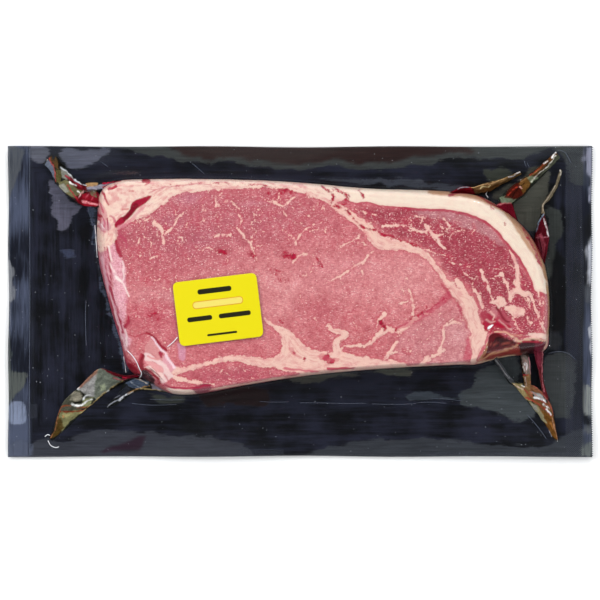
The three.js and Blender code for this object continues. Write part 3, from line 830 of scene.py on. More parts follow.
# Patches, painted light among them: hex code, strength, outline.
MARK_PATCHES = [
    ("c05068", 0.5, [(-104.2, 48.3), (-98.3, 48.3), (-95.8, 40.8), (-100.8, 39.9), (-102.1, 44.1)]),
    ("c88090", 0.6, [(-100.4, 39.1), (-95, 39.9), (-94.2, 35.8), (-99.2, 35.8)]),
    ("9c1430", 1.0, [
        (-83.3, 49.1), (-78.3, 51.6), (-74.2, 52.4), (-76.7, 49.1), (-80.8, 46.6), (-85, 42.4),
        (-88.3, 38.3), (-91.7, 36.6), (-92.5, 38.3), (-89.6, 41.6), (-85.8, 43.3),
    ]),
    ("b03c52", 0.4, [(-92, 36), (-90, 38), (-86, 34), (-88, 27), (-91, 24), (-91.5, 30)]),
    # painted reflection along the label's left edge
    ("d8a0b8", 0.5, [
        (-60.9, -20.4), (-57.3, -22.2), (-56.8, -24), (-58.2, -29.5), (-60, -29), (-60.5, -24),
    ]),
    ("dc9aa0", 0.97, [
        (-67.3, -25.8), (-62.7, -32.7), (-64.5, -35.4), (-68.2, -31.3), (-68.2, -29),
    ]),
    ("dc9a96", 0.6, [
        (-75, -19), (-69.5, -25), (-67.8, -28.1), (-69.5, -30), (-73.2, -26.8), (-77.3, -25.4),
        (-76.8, -21.8),
    ]),
    ("e9c4be", 0.95, [
        (-77.7, -25.4), (-75, -26.3), (-71.8, -28.6), (-68.2, -29.9), (-64.5, -34.9),
        (-62.7, -37.2), (-64.5, -38.6), (-68.6, -40.8), (-70, -39), (-68.2, -35.8), (-68.6, -33.1),
        (-70.9, -31.3), (-73.2, -29.9), (-75.5, -29.9), (-77.3, -29.9),
    ]),
    ("e09a98", 0.97, [
        (-77.3, -29.9), (-75, -29.9), (-70.9, -31.3), (-68.6, -33.1), (-68.4, -35.8),
        (-70.5, -34.9), (-74.1, -32.2),
    ]),
    ("ecc6bc", 0.95, [
        (-76.8, -32.2), (-75, -31.8), (-70.5, -34.9), (-68.2, -36.3), (-69.5, -39), (-70.5, -39),
        (-72.7, -36.8), (-75, -34),
    ]),
    ("a0142c", 0.75, [
        (-80.9, -30.8), (-79.1, -31.8), (-79.1, -34.5), (-80.9, -37.2), (-85, -34), (-85.9, -31.3),
    ]),
    # painted shade in the fold at the lower left corner
    ("3c161c", 1.0, [
        (-78.6, -33.6), (-75.9, -34.9), (-73.2, -37.7), (-72.3, -39.9), (-73.2, -42.5),
        (-75.5, -42), (-77.7, -40), (-80, -37.2),
    ]),
    ("e8c8b8", 0.97, [
        (-65.5, -43.1), (-60.9, -43.6), (-54.5, -44), (-51.8, -45.8), (-55.5, -46.8),
        (-61.8, -46.5), (-64.5, -45.4),
    ]),
    ("8c3848", 0.87, [(-53.6, -43.1), (-45, -40.8), (-45, -44.6), (-49.1, -46), (-51.8, -46)]),
    ("d08a88", 0.6, [(95, -3), (97, -3.6), (98.2, -6), (97.6, -8.6), (96.2, -7.2)]),
    ("a82c42", 0.85, [
        (90.2, -5.4), (92.6, -4.8), (94.6, -6.6), (95.4, -9.4), (93.8, -11), (91.4, -10),
    ]),
    ("a02a3c", 0.8, [
        (98.6, -4.6), (101, -5.6), (103.2, -8.4), (104.4, -11), (101.6, -10.8), (99.4, -9),
        (98.4, -6.8),
    ]),
    ("c4606c", 0.4, [
        (95.5, -2.5), (97.5, -4), (101, -5), (104.5, -9), (107, -13), (102, -12.5), (98, -9.5),
        (95, -6),
    ]),
    ("560a12", 1.0, [
        (94.3, -17.1), (97.1, -16), (102.1, -17.8), (107.1, -19.6), (108.9, -20.7), (104.3, -22.8),
        (98.6, -24.3), (93.6, -27.1), (90.7, -28.5), (91.4, -25), (93.6, -20.7),
    ]),
    ("2e080b", 1.0, [
        (98.6, -17.8), (103.6, -19.3), (107.1, -20.7), (102.1, -22.1), (97.1, -22.1), (96.4, -19.3),
    ]),
    ("8c3028", 0.93, [
        (93.6, -27.1), (104.3, -23.2), (110, -21.6), (112, -27), (100, -28.5), (90, -30.5),
    ]),
    ("34080e", 1.0, [
        (108, -20), (112, -19.6), (117.5, -20), (117.5, -26), (115.5, -28.5), (112, -28.5),
        (109.5, -24),
    ]),
    ("6c2030", 1.0, [
        (117, -20), (122.9, -20), (121.4, -24.3), (119.3, -28.5), (115.3, -28.5), (117, -25),
    ]),
]
# Strokes, painted light among them: hex code, strength, half width at the start and at the end, path.
MARKS = [
    ("b02040", 1.0, 0.28, 0.35, [
        (-95.4, 27.1), (-94.9, 21.6), (-94.5, 16.6), (-94.2, 9.9), (-93.8, 4.4), (-92.4, -0.1),
        (-91.3, -3.4), (-89.9, -8.4), (-88.8, -12.3), (-88.2, -15.6),
    ]),
    ("b83050", 0.87, 0.2, 0.25, [
        (-97.7, 27.1), (-96.8, 19.4), (-96.3, 14.9), (-94.9, 6.6), (-94.1, -0.1), (-92.7, -6.8),
        (-90.7, -14), (-88.2, -21.8),
    ]),
    # the pale strokes down the left side: the membrane's own pale colour, and painted sheen on its
    # ridges
    ("f4dcd4", 0.97, 0.3, 0.25, [
        (-94.9, 27.7), (-94.2, 22.1), (-93.5, 17.1), (-92.1, 14.9), (-91.4, 11.6), (-89.3, 9.9),
        (-87.7, 8.3), (-86.6, 5.5), (-85.2, 2.7),
    ]),
    ("f4dcd4", 0.97, 0.8, 0.5, [(-91.3, 11.8), (-89, 9.6)]),
    ("f0d0cc", 0.97, 0.3, 0.3, [
        (-88.2, 19.9), (-87.7, 17.1), (-87.9, 14.4), (-87.9, 11), (-88.8, 9.4),
    ]),
    ("f2c8c8", 0.93, 0.25, 0.25, [
        (-94.6, 4.4), (-93.2, -2.3), (-91.6, -9), (-89.9, -14.5), (-88.2, -20.1), (-86.8, -24.5),
    ]),
    ("ecb4bc", 0.7, 0.5, 0.4, [(-98.5, 22), (-97, 12), (-95.6, 5)]),
    ("b82848", 0.75, 0.3, 0.35, [
        (-100.7, 24.9), (-99.9, 19.4), (-98.2, 11), (-96.6, 5.5), (-94.3, -2.3), (-91.6, -13.4),
        (-88.8, -21.8), (-87.1, -27.9), (-85.7, -32.9),
    ]),
    ("a81838", 0.93, 0.5, 0.9, [(-85.7, -7.9), (-85.7, -10.6), (-86.6, -12.3)]),
    ("b02038", 0.87, 0.2, 0.2, [(-84.3, -16.2), (-82.1, -17.3), (-78.2, -16.2), (-75.4, -16.2)]),
    ("f4d8d4", 0.87, 0.4, 0.4, [(-86.8, -14), (-86, -18.4), (-86.6, -22.3)]),
    # the flap's fold: a dark red crease along its upper edge, partly painted shade, and a pale line
    # below it, partly painted highlight
    ("980c28", 1.0, 0.3, 1.0, [
        (-76.4, -15.4), (-74.5, -16.3), (-71.8, -19), (-69.5, -22.2), (-67.3, -24),
    ]),
    ("a01c38", 0.97, 0.9, 0.4, [(-70, -25.4), (-68.9, -27.7)]),
    ("f0ccd0", 0.97, 0.35, 0.6, [
        (-74.1, -17.7), (-70.5, -22.7), (-67.3, -25.8), (-64.5, -29.9), (-62.7, -32.7),
    ]),
    ("8e1024", 1.0, 0.6, 0.5, [
        (-78.6, -33.1), (-75.9, -34), (-73.2, -36.3), (-70.5, -39.5), (-70, -41.3),
    ]),
    ("b03040", 0.87, 0.5, 0.7, [(-79.1, -26.8), (-79.8, -29.9), (-79.3, -32.2)]),
    ("861424", 0.9, 0.5, 0.9, [(-78.3, -27), (-78.9, -29.8), (-78.7, -32.4)]),
    ("8e1428", 0.8, 0.9, 0.5, [(-85.2, -31.4), (-83.2, -33.2), (-81.4, -34.4)]),
    ("a01830", 0.7, 0.3, 0.4, [(-86.6, -28.4), (-84.2, -29.8), (-82.4, -31.6)]),
    ("d8807e", 0.8, 0.3, 0.4, [(-76.4, -27.2), (-73.4, -28.4), (-70.4, -29.2)]),
    ("cc6a6e", 0.7, 0.25, 0.35, [(-73.6, -33), (-71.4, -35), (-70.2, -37.6)]),
    ("c05860", 0.7, 0.25, 0.3, [(-67.6, -36.4), (-66.4, -38), (-65.6, -40)]),
    ("6a3a3c", 0.87, 0.5, 0.3, [(-76.5, -37), (-74.5, -39.5)]),
    ("a82040", 0.93, 0.4, 0.35, [
        (-68.2, -42), (-62.7, -42.7), (-55.9, -43.1), (-51.4, -42.7), (-45, -41.3),
    ]),
    ("7c0a20", 1.0, 1.1, 1.3, [(-87.5, 41.2), (-84.5, 44), (-81.7, 47.4)]),
    ("b01c38", 0.97, 0.4, 0.3, [(-99.2, 56.2), (-97.5, 53.3), (-95.4, 48.3)]),
    ("a01028", 1.0, 0.8, 0.5, [(-102.9, 46.6), (-100.8, 43.3), (-99.2, 42)]),
    ("c8405a", 0.87, 0.3, 0.3, [(-100.8, 50.5), (-99, 47.5), (-98, 44)]),
    ("c83a4c", 0.7, 0.35, 0.35, [(-88.5, 46), (-85.5, 46)]),
    ("b83450", 0.85, 0.5, 0.25, [(-101.6, 41.8), (-99.8, 40.6), (-99.4, 39)]),
    ("c04a64", 0.75, 0.3, 0.45, [(-98.4, 41.2), (-97, 39.2), (-97.4, 37.4)]),
    ("a82444", 0.85, 0.35, 0.25, [(-95.8, 41.2), (-95.4, 38.4), (-95.9, 35.4)]),
    ("c45068", 0.8, 0.3, 0.5, [(-94.4, 42.6), (-92.8, 41.4), (-92.2, 39.4)]),
    ("b02c48", 0.8, 0.4, 0.25, [(-101, 37.8), (-99.6, 36.6)]),
    ("c45a70", 0.7, 0.35, 0.3, [(-98.6, 35.4), (-97.2, 34.6)]),
    # two painted glints
    ("f2dcd8", 0.9, 0.3, 0.2, [(-98.6, 38.2), (-97.8, 36.8)]),
    ("f6e8e4", 0.9, 0.25, 0.25, [(-100.4, 40), (-100, 39.4)]),
    ("dc8890", 0.6, 0.9, 0.6, [(-90.2, 36.6), (-86, 38.8), (-81.8, 43), (-77.2, 47.8)]),
    ("a01c38", 0.8, 0.5, 0.9, [(-91.6, 30.6), (-91, 26.4), (-89.6, 22.6)]),
    ("b8405a", 0.6, 0.5, 0.4, [(-89.4, 33), (-87, 30.6), (-86.4, 27)]),
    ("c83a4c", 0.7, 0.3, 0.3, [(-85, 55), (-83, 55)]),
    ("a81430", 0.97, 0.6, 0.8, [(-95.5, 56), (-92, 57.5)]),
    ("b0203c", 0.93, 0.5, 0.5, [(-98, 59), (-94, 59.5), (-90, 60)]),
    ("9a0c24", 1.0, 0.9, 0.8, [(-78, 60), (-75.5, 60)]),
    ("c84a5a", 0.7, 0.4, 0.3, [(-75.5, 59), (-77, 58)]),
    ("d0747c", 0.7, 0.25, 0.25, [
        (-75, 54), (-70, 56), (-65, 57), (-59, 58), (-52, 58.5), (-44, 58),
    ]),
    ("c04058", 0.5, 0.9, 1.7, [(49, -13.3), (55, -10.6), (63, -6.1), (69, -2), (74, 3)]),
    ("c03050", 0.5, 1.2, 1.8, [(84, -20), (83.5, -24), (83, -28)]),
    ("e0b898", 0.97, 0.3, 0.3, [
        (96.8, -15.3), (102.1, -15.7), (107.1, -17.8), (108.9, -19.6), (115.7, -18.9),
        (122.9, -19.3),
    ]),
    ("ecc8b8", 0.8, 0.7, 1.0, [(114, -16.6), (119, -16.8), (122.9, -17.8)]),
    ("c89068", 0.93, 0.3, 0.3, [(89.3, -29.3), (93.6, -27.1), (100.7, -25), (107.9, -22.1)]),
    ("b07850", 0.87, 0.5, 0.4, [(93, -22), (92.2, -25), (90.5, -28)]),
    ("e0bc98", 0.97, 0.3, 0.35, [(88.6, -30.6), (95, -29), (100.7, -27.8), (107.1, -27.1)]),
    ("a81030", 0.87, 0.8, 1.0, [(92.5, -14), (96, -12), (100, -12), (104, -13)]),
    ("d08878", 0.6, 0.5, 0.5, [(99, -15), (105, -16), (110, -17)]),
    ("7c0c22", 0.9, 0.5, 0.35, [(97.6, -3.4), (99.4, -5.8), (101.2, -8.2), (103.8, -10.2)]),
    ("e8b0a6", 0.85, 0.45, 0.25, [(94.8, -5.2), (96.6, -6.8), (96, -9.2)]),
    ("dca09a", 0.8, 0.3, 0.3, [(99.2, -9.4), (101.4, -11.2), (103, -13.2), (105.6, -14)]),
    ("e2b0a4", 0.8, 0.35, 0.2, [(92.4, -9.4), (94.4, -10.4), (96.8, -10)]),
    # a painted glint in the hollow
    ("ffffff", 1.0, 0.6, 0.3, [(94, -13), (95.5, -12)]),
    ("e2b8a0", 0.9, 0.6, 0.3, [(123.5, -14), (123.4, -18.5), (122.6, -22), (121.6, -25)]),
    ("b01430", 0.95, 0.25, 0.25, [(108.5, -20.6), (112, -19.9), (116, -20.2), (120.6, -20.4)]),
    ("c89a70", 0.87, 0.35, 0.35, [(123, 9), (124, 1), (124, -8), (123.5, -16)]),
    ("a01830", 0.93, 0.5, 0.6, [
        (105, 44), (109, 41), (113, 37), (116, 32), (118.5, 27), (120.5, 22),
    ]),
    ("9a1830", 0.87, 0.6, 0.5, [(74.5, 53), (80, 54.5), (86, 54), (92, 51), (97, 48)]),
    ("b02a44", 0.5, 0.45, 0.45, [
        (49, 46.4), (62, 45.6), (76, 44.8), (86, 42.2), (95, 37.6), (102, 29.8), (109, 21.4),
        (112.6, 15.6),
    ]),
    ("7c2420", 0.9, 0.35, 0.3, [(91.5, -27.2), (97, -25), (103, -22.6), (108, -20.6)]),
    ("9c4436", 0.8, 0.3, 0.3, [(93.5, -21), (97, -21.5), (102, -20.8), (107, -19.8)]),
    ("5c0c16", 0.9, 0.3, 0.4, [(95, -18.5), (98, -20), (101, -23)]),
    ("b03048", 0.7, 0.35, 0.5, [
        (70.5, 9), (74.5, 3), (78, 0.5), (80, -5), (82.5, -10), (83.5, -13),
    ]),
    ("c8405a", 0.7, 0.5, 0.3, [(-8, -33.2), (0, -34.2), (9, -35)]),
    ("b82848", 0.87, 0.6, 0.4, [(14, -33.4), (20, -33.6), (27, -33.2)]),
    ("cc5a68", 0.5, 1.6, 0.8, [(11, -27.4), (15, -28.8), (18.5, -29.2)]),
    ("cc5a68", 0.5, 0.9, 0.5, [(-4.5, -23.5), (-2.8, -26.2), (0.5, -28)]),
    # painted highlight of the clear film along the steak's lower edge
    ("f0c4b0", 0.87, 0.35, 0.35, [
        (-45, -44), (-25, -40.7), (-8, -38), (8.5, -35.8), (28, -34), (45, -32.7), (62, -31.8),
        (78.5, -31), (87, -31),
    ]),
]
print("strokes of juice:", len(JUICE), "marks:", len(MARK_PATCHES) + len(MARKS))

# %% [markdown]
# The colours are laid over each other like glazes, each by a share that fades towards its edge. An
# image would do this too, but it would need unwrapping, and colours on the points don't. Marks keep
# the share they cover as well as their colour, so that the shader can lay them over fat and juice.

# %% Colours of the cut face
LEAN_WAVER = 1.6  # how far the muscles' colours stray
LEAN_WAVER_SIZE = 9
CAP_STREAKS = 0.2  # how streaky the cap's fat is, where other fat is 1
# Depths inside an edge where a colour begins and where it covers.
JUICE_EDGE = (-1.0, 0.6)
MARK_PATCH_EDGE = (-0.3, 0.3)
MARK_EDGE = (-0.3, 0.15)


def tint(colours, code, cover):
    """Lays a colour over the points' colours."""
    colours += cover[:, None] * (np.array(colour(code)) - colours)


def lay(colours, amounts, code, cover):
    """Lays a colour on points of which the amounts say how far they are covered already."""
    both = amounts + cover - amounts * cover
    tint(colours, code, cover / np.maximum(both, 1e-6))
    amounts[:] = both


def painted(base, xy, ovals=(), patches=()):
    """A colour for each point: the base, with ovals and then outlined patches laid over it."""
    result = np.tile(colour(base), (len(xy), 1))
    for code, strength, *shape in ovals:
        tint(result, code, strength * oval(xy, *shape))
    for code, strength, softness, outline in patches:
        tint(result, code, strength * patch_cover(xy, outline, -softness, softness))
    return result


blurred_at = wavering(meat_points, LEAN_WAVER, LEAN_WAVER_SIZE, (21, 22))
lean_colour = painted(LEAN, blurred_at, LEAN_OVALS, LEAN_PATCHES)
fat_colour = painted(FAT, drawn_at, patches=FAT_COLOURS)
streaky = 1 - (1 - CAP_STREAKS) * patch_cover(drawn_at, FAT_PATCHES["cap"], -3.0, -1.0)
juice = np.zeros(len(meat_points))
for strength, first, last, path in JUICE:
    cover = strength * stroke_cover(drawn_at, (first, last), path, *JUICE_EDGE)
    juice = np.maximum(juice, cover)
mark_colour = np.zeros((len(meat_points), 4))
mark_amount = np.zeros(len(meat_points))
for code, strength, outline in MARK_PATCHES:
    cover = strength * patch_cover(drawn_at, outline, *MARK_PATCH_EDGE)
    lay(mark_colour, mark_amount, code, cover)
for code, strength, first, last, path in MARKS:
    cover = strength * stroke_cover(drawn_at, (first, last), path, *MARK_EDGE)
    lay(mark_colour, mark_amount, code, cover)
mark_colour *= mark_amount[:, None]
mark_colour[:, 3] = mark_amount
print("share of the mesh with marks:", round(float((mark_amount > 0.5).mean()), 3))

# %% [markdown]
# Besides the veins there is a dust of fine white flecks. It is thick in some muscles and thin in
# others, where the hair veins are too.

# %% Flecks, and the steak's mesh
flecks = np.zeros(len(meat_points))
for strength, *shape, _ in SPECKLED:
    flecks = np.maximum(flecks, strength * oval(meat_points, *shape))

FAT_PROUD = 0.1  # fat shrinks less than lean does, so it stands a little higher
FACE_ROUGHNESS = 0.05
meat_points[side_count:, 2] += FAT_PROUD * smooth_step(-fat[side_count:], -0.6, 0.6)
meat_points[side_count:, 2] += FACE_ROUGHNESS * noise(meat_points[side_count:], 2.5, seed=5)

underside = np.array([[*CENTRE, STEAK_BASE]])
foot_numbers = np.arange(foot_count)
middle = np.full(foot_count, len(meat_points))
fan = np.column_stack([middle, np.roll(foot_numbers, -1), foot_numbers])
steak = new_piece("steak_meat", np.vstack([meat_points, underside]), [meat_faces, fan])
keep_fields(
    steak, fat=fat, lean=lean_colour, suet=fat_colour, juice=juice, flecks=flecks, streaky=streaky,
    marks=mark_colour,
)
print("steak:", len(steak.data.polygons), "faces")

# %% [markdown]
# ## Helpers for materials
#
# Every material is a tree of nodes built here in the script. Most of them start from what is stored
# on the mesh, turn it into a share with a ramp, and mix two colours by that share. These steps come
# back so often that each is a helper, which reads better than links drawn between sockets.

# %% Helpers for materials
FACTOR, FIRST, SECOND, MIXED = 0, 6, 7, 2  # the sockets of a Mix node that mixes colours


def per_metre(size):
    """The texture scale that gives features of a size in millimetres."""
    return 1 / (size * MM)


def new_material(name):
    """An empty material, and its tree of nodes."""
    material = bpy.data.materials.new(name)
    material.use_nodes = True
    material.node_tree.nodes.clear()
    return material, material.node_tree


def finish_material(tree, shader):
    """Connects a shader to the material's output."""
    put(tree, "ShaderNodeOutputMaterial", {"Surface": shader.outputs[0]})


def blend(tree, factor, first, second, **settings):
    """Mixes two colours."""
    inputs = {FACTOR: factor, FIRST: first, SECOND: second}
    return put(tree, "ShaderNodeMix", inputs, data_type="RGBA", **settings).outputs[MIXED]


def between(tree, value, start, end, low=0.0, high=1.0, **settings):
    """Goes from low at start to high at end, and no further."""
    inputs = {"Value": value, "From Min": start, "From Max": end, "To Min": low, "To Max": high}
    return put(tree, "ShaderNodeMapRange", inputs, **settings).outputs[0]


def sums(tree, operation, *values):
    """A number worked out from others."""
    return put(tree, "ShaderNodeMath", dict(enumerate(values)), operation=operation).outputs[0]


def vectors(tree, operation, inputs):
    """A vector or a colour worked out from others."""
    return put(tree, "ShaderNodeVectorMath", inputs, operation=operation).outputs[0]


def grains(tree, place, size, detail=3.0, stretch=(1, 1, 1), turn=0.0):
    """Noise with features of a size in millimetres, stretched along x, y or z."""
    if stretch != (1, 1, 1) or turn:
        shares = tuple(1 / share for share in stretch)
        inputs = {"Vector": place, "Rotation": (0, 0, turn), "Scale": shares}
        place = put(tree, "ShaderNodeMapping", inputs).outputs[0]
    inputs = {"Vector": place, "Scale": per_metre(size), "Detail": detail, "Roughness": 0.6}
    return put(tree, "ShaderNodeTexNoise", inputs).outputs["Fac"]


def stored(tree, name, output="Fac"):
    """What the mesh keeps under a name."""
    return put(tree, "ShaderNodeAttribute", attribute_name=name).outputs[output]


def edgewise(tree, place, distance, share):
    """A place that changes fast across an edge, by its stored distance, and slowly along it."""
    parts = put(tree, "ShaderNodeSeparateXYZ", {0: place}).outputs
    return put(tree, "ShaderNodeCombineXYZ", {
        0: sums(tree, "MULTIPLY", stored(tree, distance), MM),
        1: sums(tree, "MULTIPLY", parts[0], share),
        2: sums(tree, "MULTIPLY", parts[1], share),
    }).outputs[0]


def bumped(tree, height, strength, depth):
    """Normals that are tilted by a relief as deep as so many millimetres."""
    inputs = {"Height": height, "Strength": strength, "Distance": depth * MM}
    return put(tree, "ShaderNodeBump", inputs).outputs[0]


print("texture scale for features of a millimetre:", per_metre(1))

# %% [markdown]
# ## Raw meat as a material
#
# The real thing is wet muscle, cut across its fibres: soft light inside, a damp shine outside, and
# a grain of bundles about a millimetre wide. Fat is waxy and cream, with pink where a vein runs
# under it. The shader starts from the colours and distances stored on the mesh, and adds what is
# finer than the mesh: a rough edge to the fat, the grain, the flecks and a shallow bump.

# %% Raw meat as a material
GRAIN = 0.9  # millimetres, the width of a bundle of fibres
STREAK = 1.3  # in the fat
MOTTLE = 7.0
FLECK_SPACING = 1.0


def raw_meat():
    """Wet raw muscle with waxy fat."""
    material, tree = new_material("raw_meat")
    place = put(tree, "ShaderNodeTexCoord").outputs["Object"]
    fine = grains(tree, place, GRAIN, 2.0)
    middle = grains(tree, place, 2.6)
    coarse = grains(tree, place, MOTTLE)

    # Bundles of fibres, seen nearly end on, and longer one way than the other.
    bundles = grains(tree, place, 0.65, 2.0, stretch=(2.2, 1, 1), turn=0.7)
    crossing = grains(tree, place, 0.65, 2.0, stretch=(1, 2.2, 1), turn=0.2)
    shade = sums(tree, "MULTIPLY_ADD", bundles, 1.3, coarse)
    shade = sums(tree, "ADD", shade, sums(tree, "ADD", crossing, middle))
    lean = stored(tree, "lean", "Color")
    deep = vectors(tree, "MULTIPLY", {0: lean, 1: (0.78, 0.6, 0.62)})
    pale = vectors(tree, "MULTIPLY", {0: lean, 1: (1.2, 1.5, 1.38)})
    mottled = blend(tree, between(tree, shade, 1.7, 2.58), deep, pale)
    # Single fibres that lie in the cut face are pale threads, more of them in some places.
    threads = [grains(tree, place, 0.42, 1.0, (3.5, 1, 1), turn) for turn in (0.5, -0.8)]
    thread = between(tree, sums(tree, "MAXIMUM", *threads), 0.62, 0.69)
    thread = sums(tree, "MULTIPLY", thread, between(tree, coarse, 0.4, 0.6, 0.2, 0.75))
    muscle = blend(tree, thread, mottled, colour("eec0b8"))

    # Flecks: bent dots in some cells of a cell pattern.
    inputs = {"Vector": place, "Scale": per_metre(1.0), "Detail": 1.0}
    shift = put(tree, "ShaderNodeTexNoise", inputs).outputs["Color"]
    bent = vectors(tree, "MULTIPLY_ADD", {0: shift, 1: (1.6 * MM,) * 3, 2: place})
    cells = put(tree, "ShaderNodeTexVoronoi", {"Vector": bent, "Scale": per_metre(FLECK_SPACING)})
    dot = between(tree, cells.outputs["Distance"], 0.34, 0.14)
    lot = put(tree, "ShaderNodeSeparateColor", {"Color": cells.outputs["Color"]}).outputs[0]
    share = sums(tree, "MULTIPLY", stored(tree, "flecks"), 0.8)
    fleck = sums(tree, "MULTIPLY", dot, sums(tree, "LESS_THAN", lot, share))
    flecked = blend(tree, sums(tree, "MULTIPLY", fleck, 0.8), muscle, colour("f6d6cc"))

    # The fat's edge is ragged, and the lean beside it is redder in places.
    roughness = sums(tree, "MULTIPLY_ADD", middle, 2.6, sums(tree, "MULTIPLY_ADD", fine, 1.6, -2.1))
    ragged = sums(tree, "MULTIPLY_ADD", roughness, stored(tree, "streaky"), stored(tree, "fat"))
    in_cap = between(tree, stored(tree, "streaky"), 0.9, 0.3)
    some = sums(tree, "MAXIMUM", between(tree, coarse, 0.42, 0.62), in_cap)
    beside = sums(tree, "MULTIPLY", between(tree, ragged, 1.5, 0.2), some)
    edged = blend(tree, sums(tree, "MULTIPLY", beside, 0.6), flecked, colour("b52a45"))

    # Fat has pink streaks that run along with its edges.
    layers = edgewise(tree, place, "fat", 0.22)
    streaks = sums(tree, "MULTIPLY_ADD", middle, 0.6, grains(tree, layers, STREAK))
    blush = between(tree, streaks, 0.74, 0.96, high=0.9)
    blush = sums(tree, "MULTIPLY", blush, stored(tree, "streaky"))
    pinked = blend(tree, blush, stored(tree, "suet", "Color"), colour("df9d96"))
    thin = between(tree, ragged, -1.6, 0.3, high=0.22)
    waxy = blend(tree, thin, pinked, colour("e3a79f"))
    in_fat = between(tree, ragged, 0.3, -0.25, interpolation_type="SMOOTHSTEP")
    marbled = blend(tree, in_fat, edged, waxy)

    # Juice is streaky, so the grain breaks it up too.
    juice = stored(tree, "juice")
    streaked = sums(tree, "MULTIPLY_ADD", fine, 1.4, sums(tree, "MULTIPLY_ADD", middle, 2.6, juice))
    wet = between(tree, streaked, 2.3, 2.9)
    wet = sums(tree, "MULTIPLY", wet, between(tree, juice, 0.0, 0.2))
    blood = blend(tree, between(tree, fine, 0.35, 0.65), colour("8a0c26"), colour("bb1c3c"))
    bloody = blend(tree, wet, marbled, blood)
    # The same grain breaks up the marks and the painted light. Their colours are stored multiplied
    # by their amounts.
    broken = between(tree, sums(tree, "ADD", fine, middle), 0.7, 1.0, 0.95, 1.06)
    mark = sums(tree, "MULTIPLY", stored(tree, "marks", "Alpha"), broken)
    unmarked = blend(tree, mark, bloody, colour("000000"))
    marks = stored(tree, "marks", "Color")
    base = vectors(tree, "MULTIPLY_ADD", {0: marks, 1: broken, 2: unmarked})

    relief = sums(tree, "MULTIPLY_ADD", between(tree, ragged, 0.4, -0.4), 0.5, fine)
    shader = put(tree, "ShaderNodeBsdfPrincipled", {
        "Base Color": base, "Roughness": 0.4, "IOR": 1.42, "Specular IOR Level": 0.3,
        "Normal": bumped(tree, relief, 0.6, 0.3), "Subsurface Weight": 0.1,
        "Subsurface Radius": (1.0, 0.35, 0.25), "Subsurface Scale": 0.8 * MM,
    })
    finish_material(tree, shader)
    return material


steak.data.materials.append(raw_meat())
print("made", steak.data.materials[0].name)

# %% [markdown]
# ## The lie of the films
#
# The black film and the clear film are sealed together all round, so they share one relief. Their
# edge curls up a little, because the clear film shrinks as it cools. There is a crease inside each
# short end, where the seal begins, and the whole sheet swells and dips by a few tenths of a
# millimetre. That is too little to see as height, but gloss shows it as bands and patches of light.

# %% The lie of the films
def edge_pull(along):
    """How far the edge is drawn in, where along goes from -1 at one corner to 1 at the next."""
    return EDGE_PULL * (1 - along**2) * (0.6 + 0.4 * np.cos(3 * math.pi * along))


def pack_edge(xy):
    """Where rays from the centre through these points reach the pack's edge."""
    direction = unit(xy - CENTRE)
    half = np.array([PACK_LENGTH / 2, PACK_WIDTH / 2])
    reach = (np.sign(direction) * half - CENTRE) / np.where(direction == 0, 1e-9, direction)
    on_end = reach[:, 0] < reach[:, 1]
    edge = CENTRE + direction * reach.min(axis=1)[:, None]
    along = np.where(on_end, edge[:, 1] / half[1], edge[:, 0] / half[0])
    drawn_in = edge_pull(along)
    edge[:, 0] -= np.where(on_end, np.sign(direction[:, 0]) * drawn_in, 0)
    edge[:, 1] -= np.where(on_end, 0, np.sign(direction[:, 1]) * drawn_in)
    return edge


def heading(xy):
    """The direction of a point from the centre, from -pi to pi."""
    return np.arctan2(xy[:, 1] - CENTRE[1], xy[:, 0] - CENTRE[0])


def from_centre(xy):
    """How far away points are from the centre."""
    return np.linalg.norm(xy - CENTRE, axis=1)


AROUND_COLUMNS = 200  # enough for the tables below
AROUND_ROWS = 80

around_stations = Stations(AROUND_COLUMNS, AROUND_ROWS)
around_foot = around_stations.foot + (GAP + FILLET) * around_stations.outward
by_heading = np.argsort(heading(around_foot))
heading_table = heading(around_foot)[by_heading]
inner_table = from_centre(around_foot)[by_heading]
outer_table = from_centre(pack_edge(around_foot))[by_heading]
first_corner = np.array([[PACK_LENGTH / 2, PACK_WIDTH / 2]])
wave_share = around_stations.lengths / fine_lengths[FINE_STEPS // 2]
wave_share -= np.interp(heading(first_corner), heading_table, wave_share[by_heading])
wave = np.sin(2 * math.pi * EDGE_WAVES * wave_share)
lift_table = (EDGE_LIFT + EDGE_LIFT_WAVE * wave)[by_heading]

END_CREASES = (-135.0, 141.8)  # x of the crease inside each short end
CREASE_RISE = 0.22
CREASE_WIDTH = 0.7
# Swells of the sheet: height, length, squeeze across, share of the way to their full height, seed.
SWELLS = [(0.22, 34, 1, 0.25, 31), (0.05, 16, 3, 0.2, 32)]


def sheet_height(xy):
    """How far the sealed films rise above where they lie flat."""
    turn = heading(xy)
    inner, outer, lift = (
        np.interp(turn, heading_table, table, period=2 * math.pi)
        for table in (inner_table, outer_table, lift_table)
    )
    share = np.clip((from_centre(xy) - inner) / (outer - inner), 0, 1)
    height = lift * share**2
    for rise, length, squeeze, full, seed in SWELLS:
        swell = 1 + noise(xy * (1, squeeze), length, seed)
        height += rise * swell * smooth_step(share, 0, full)
    for x in END_CREASES:
        height += CREASE_RISE * np.exp(-(((xy[:, 0] - x) / CREASE_WIDTH) ** 2))
    return height


print("sheet height at a corner:", sheet_height(first_corner).round(2))
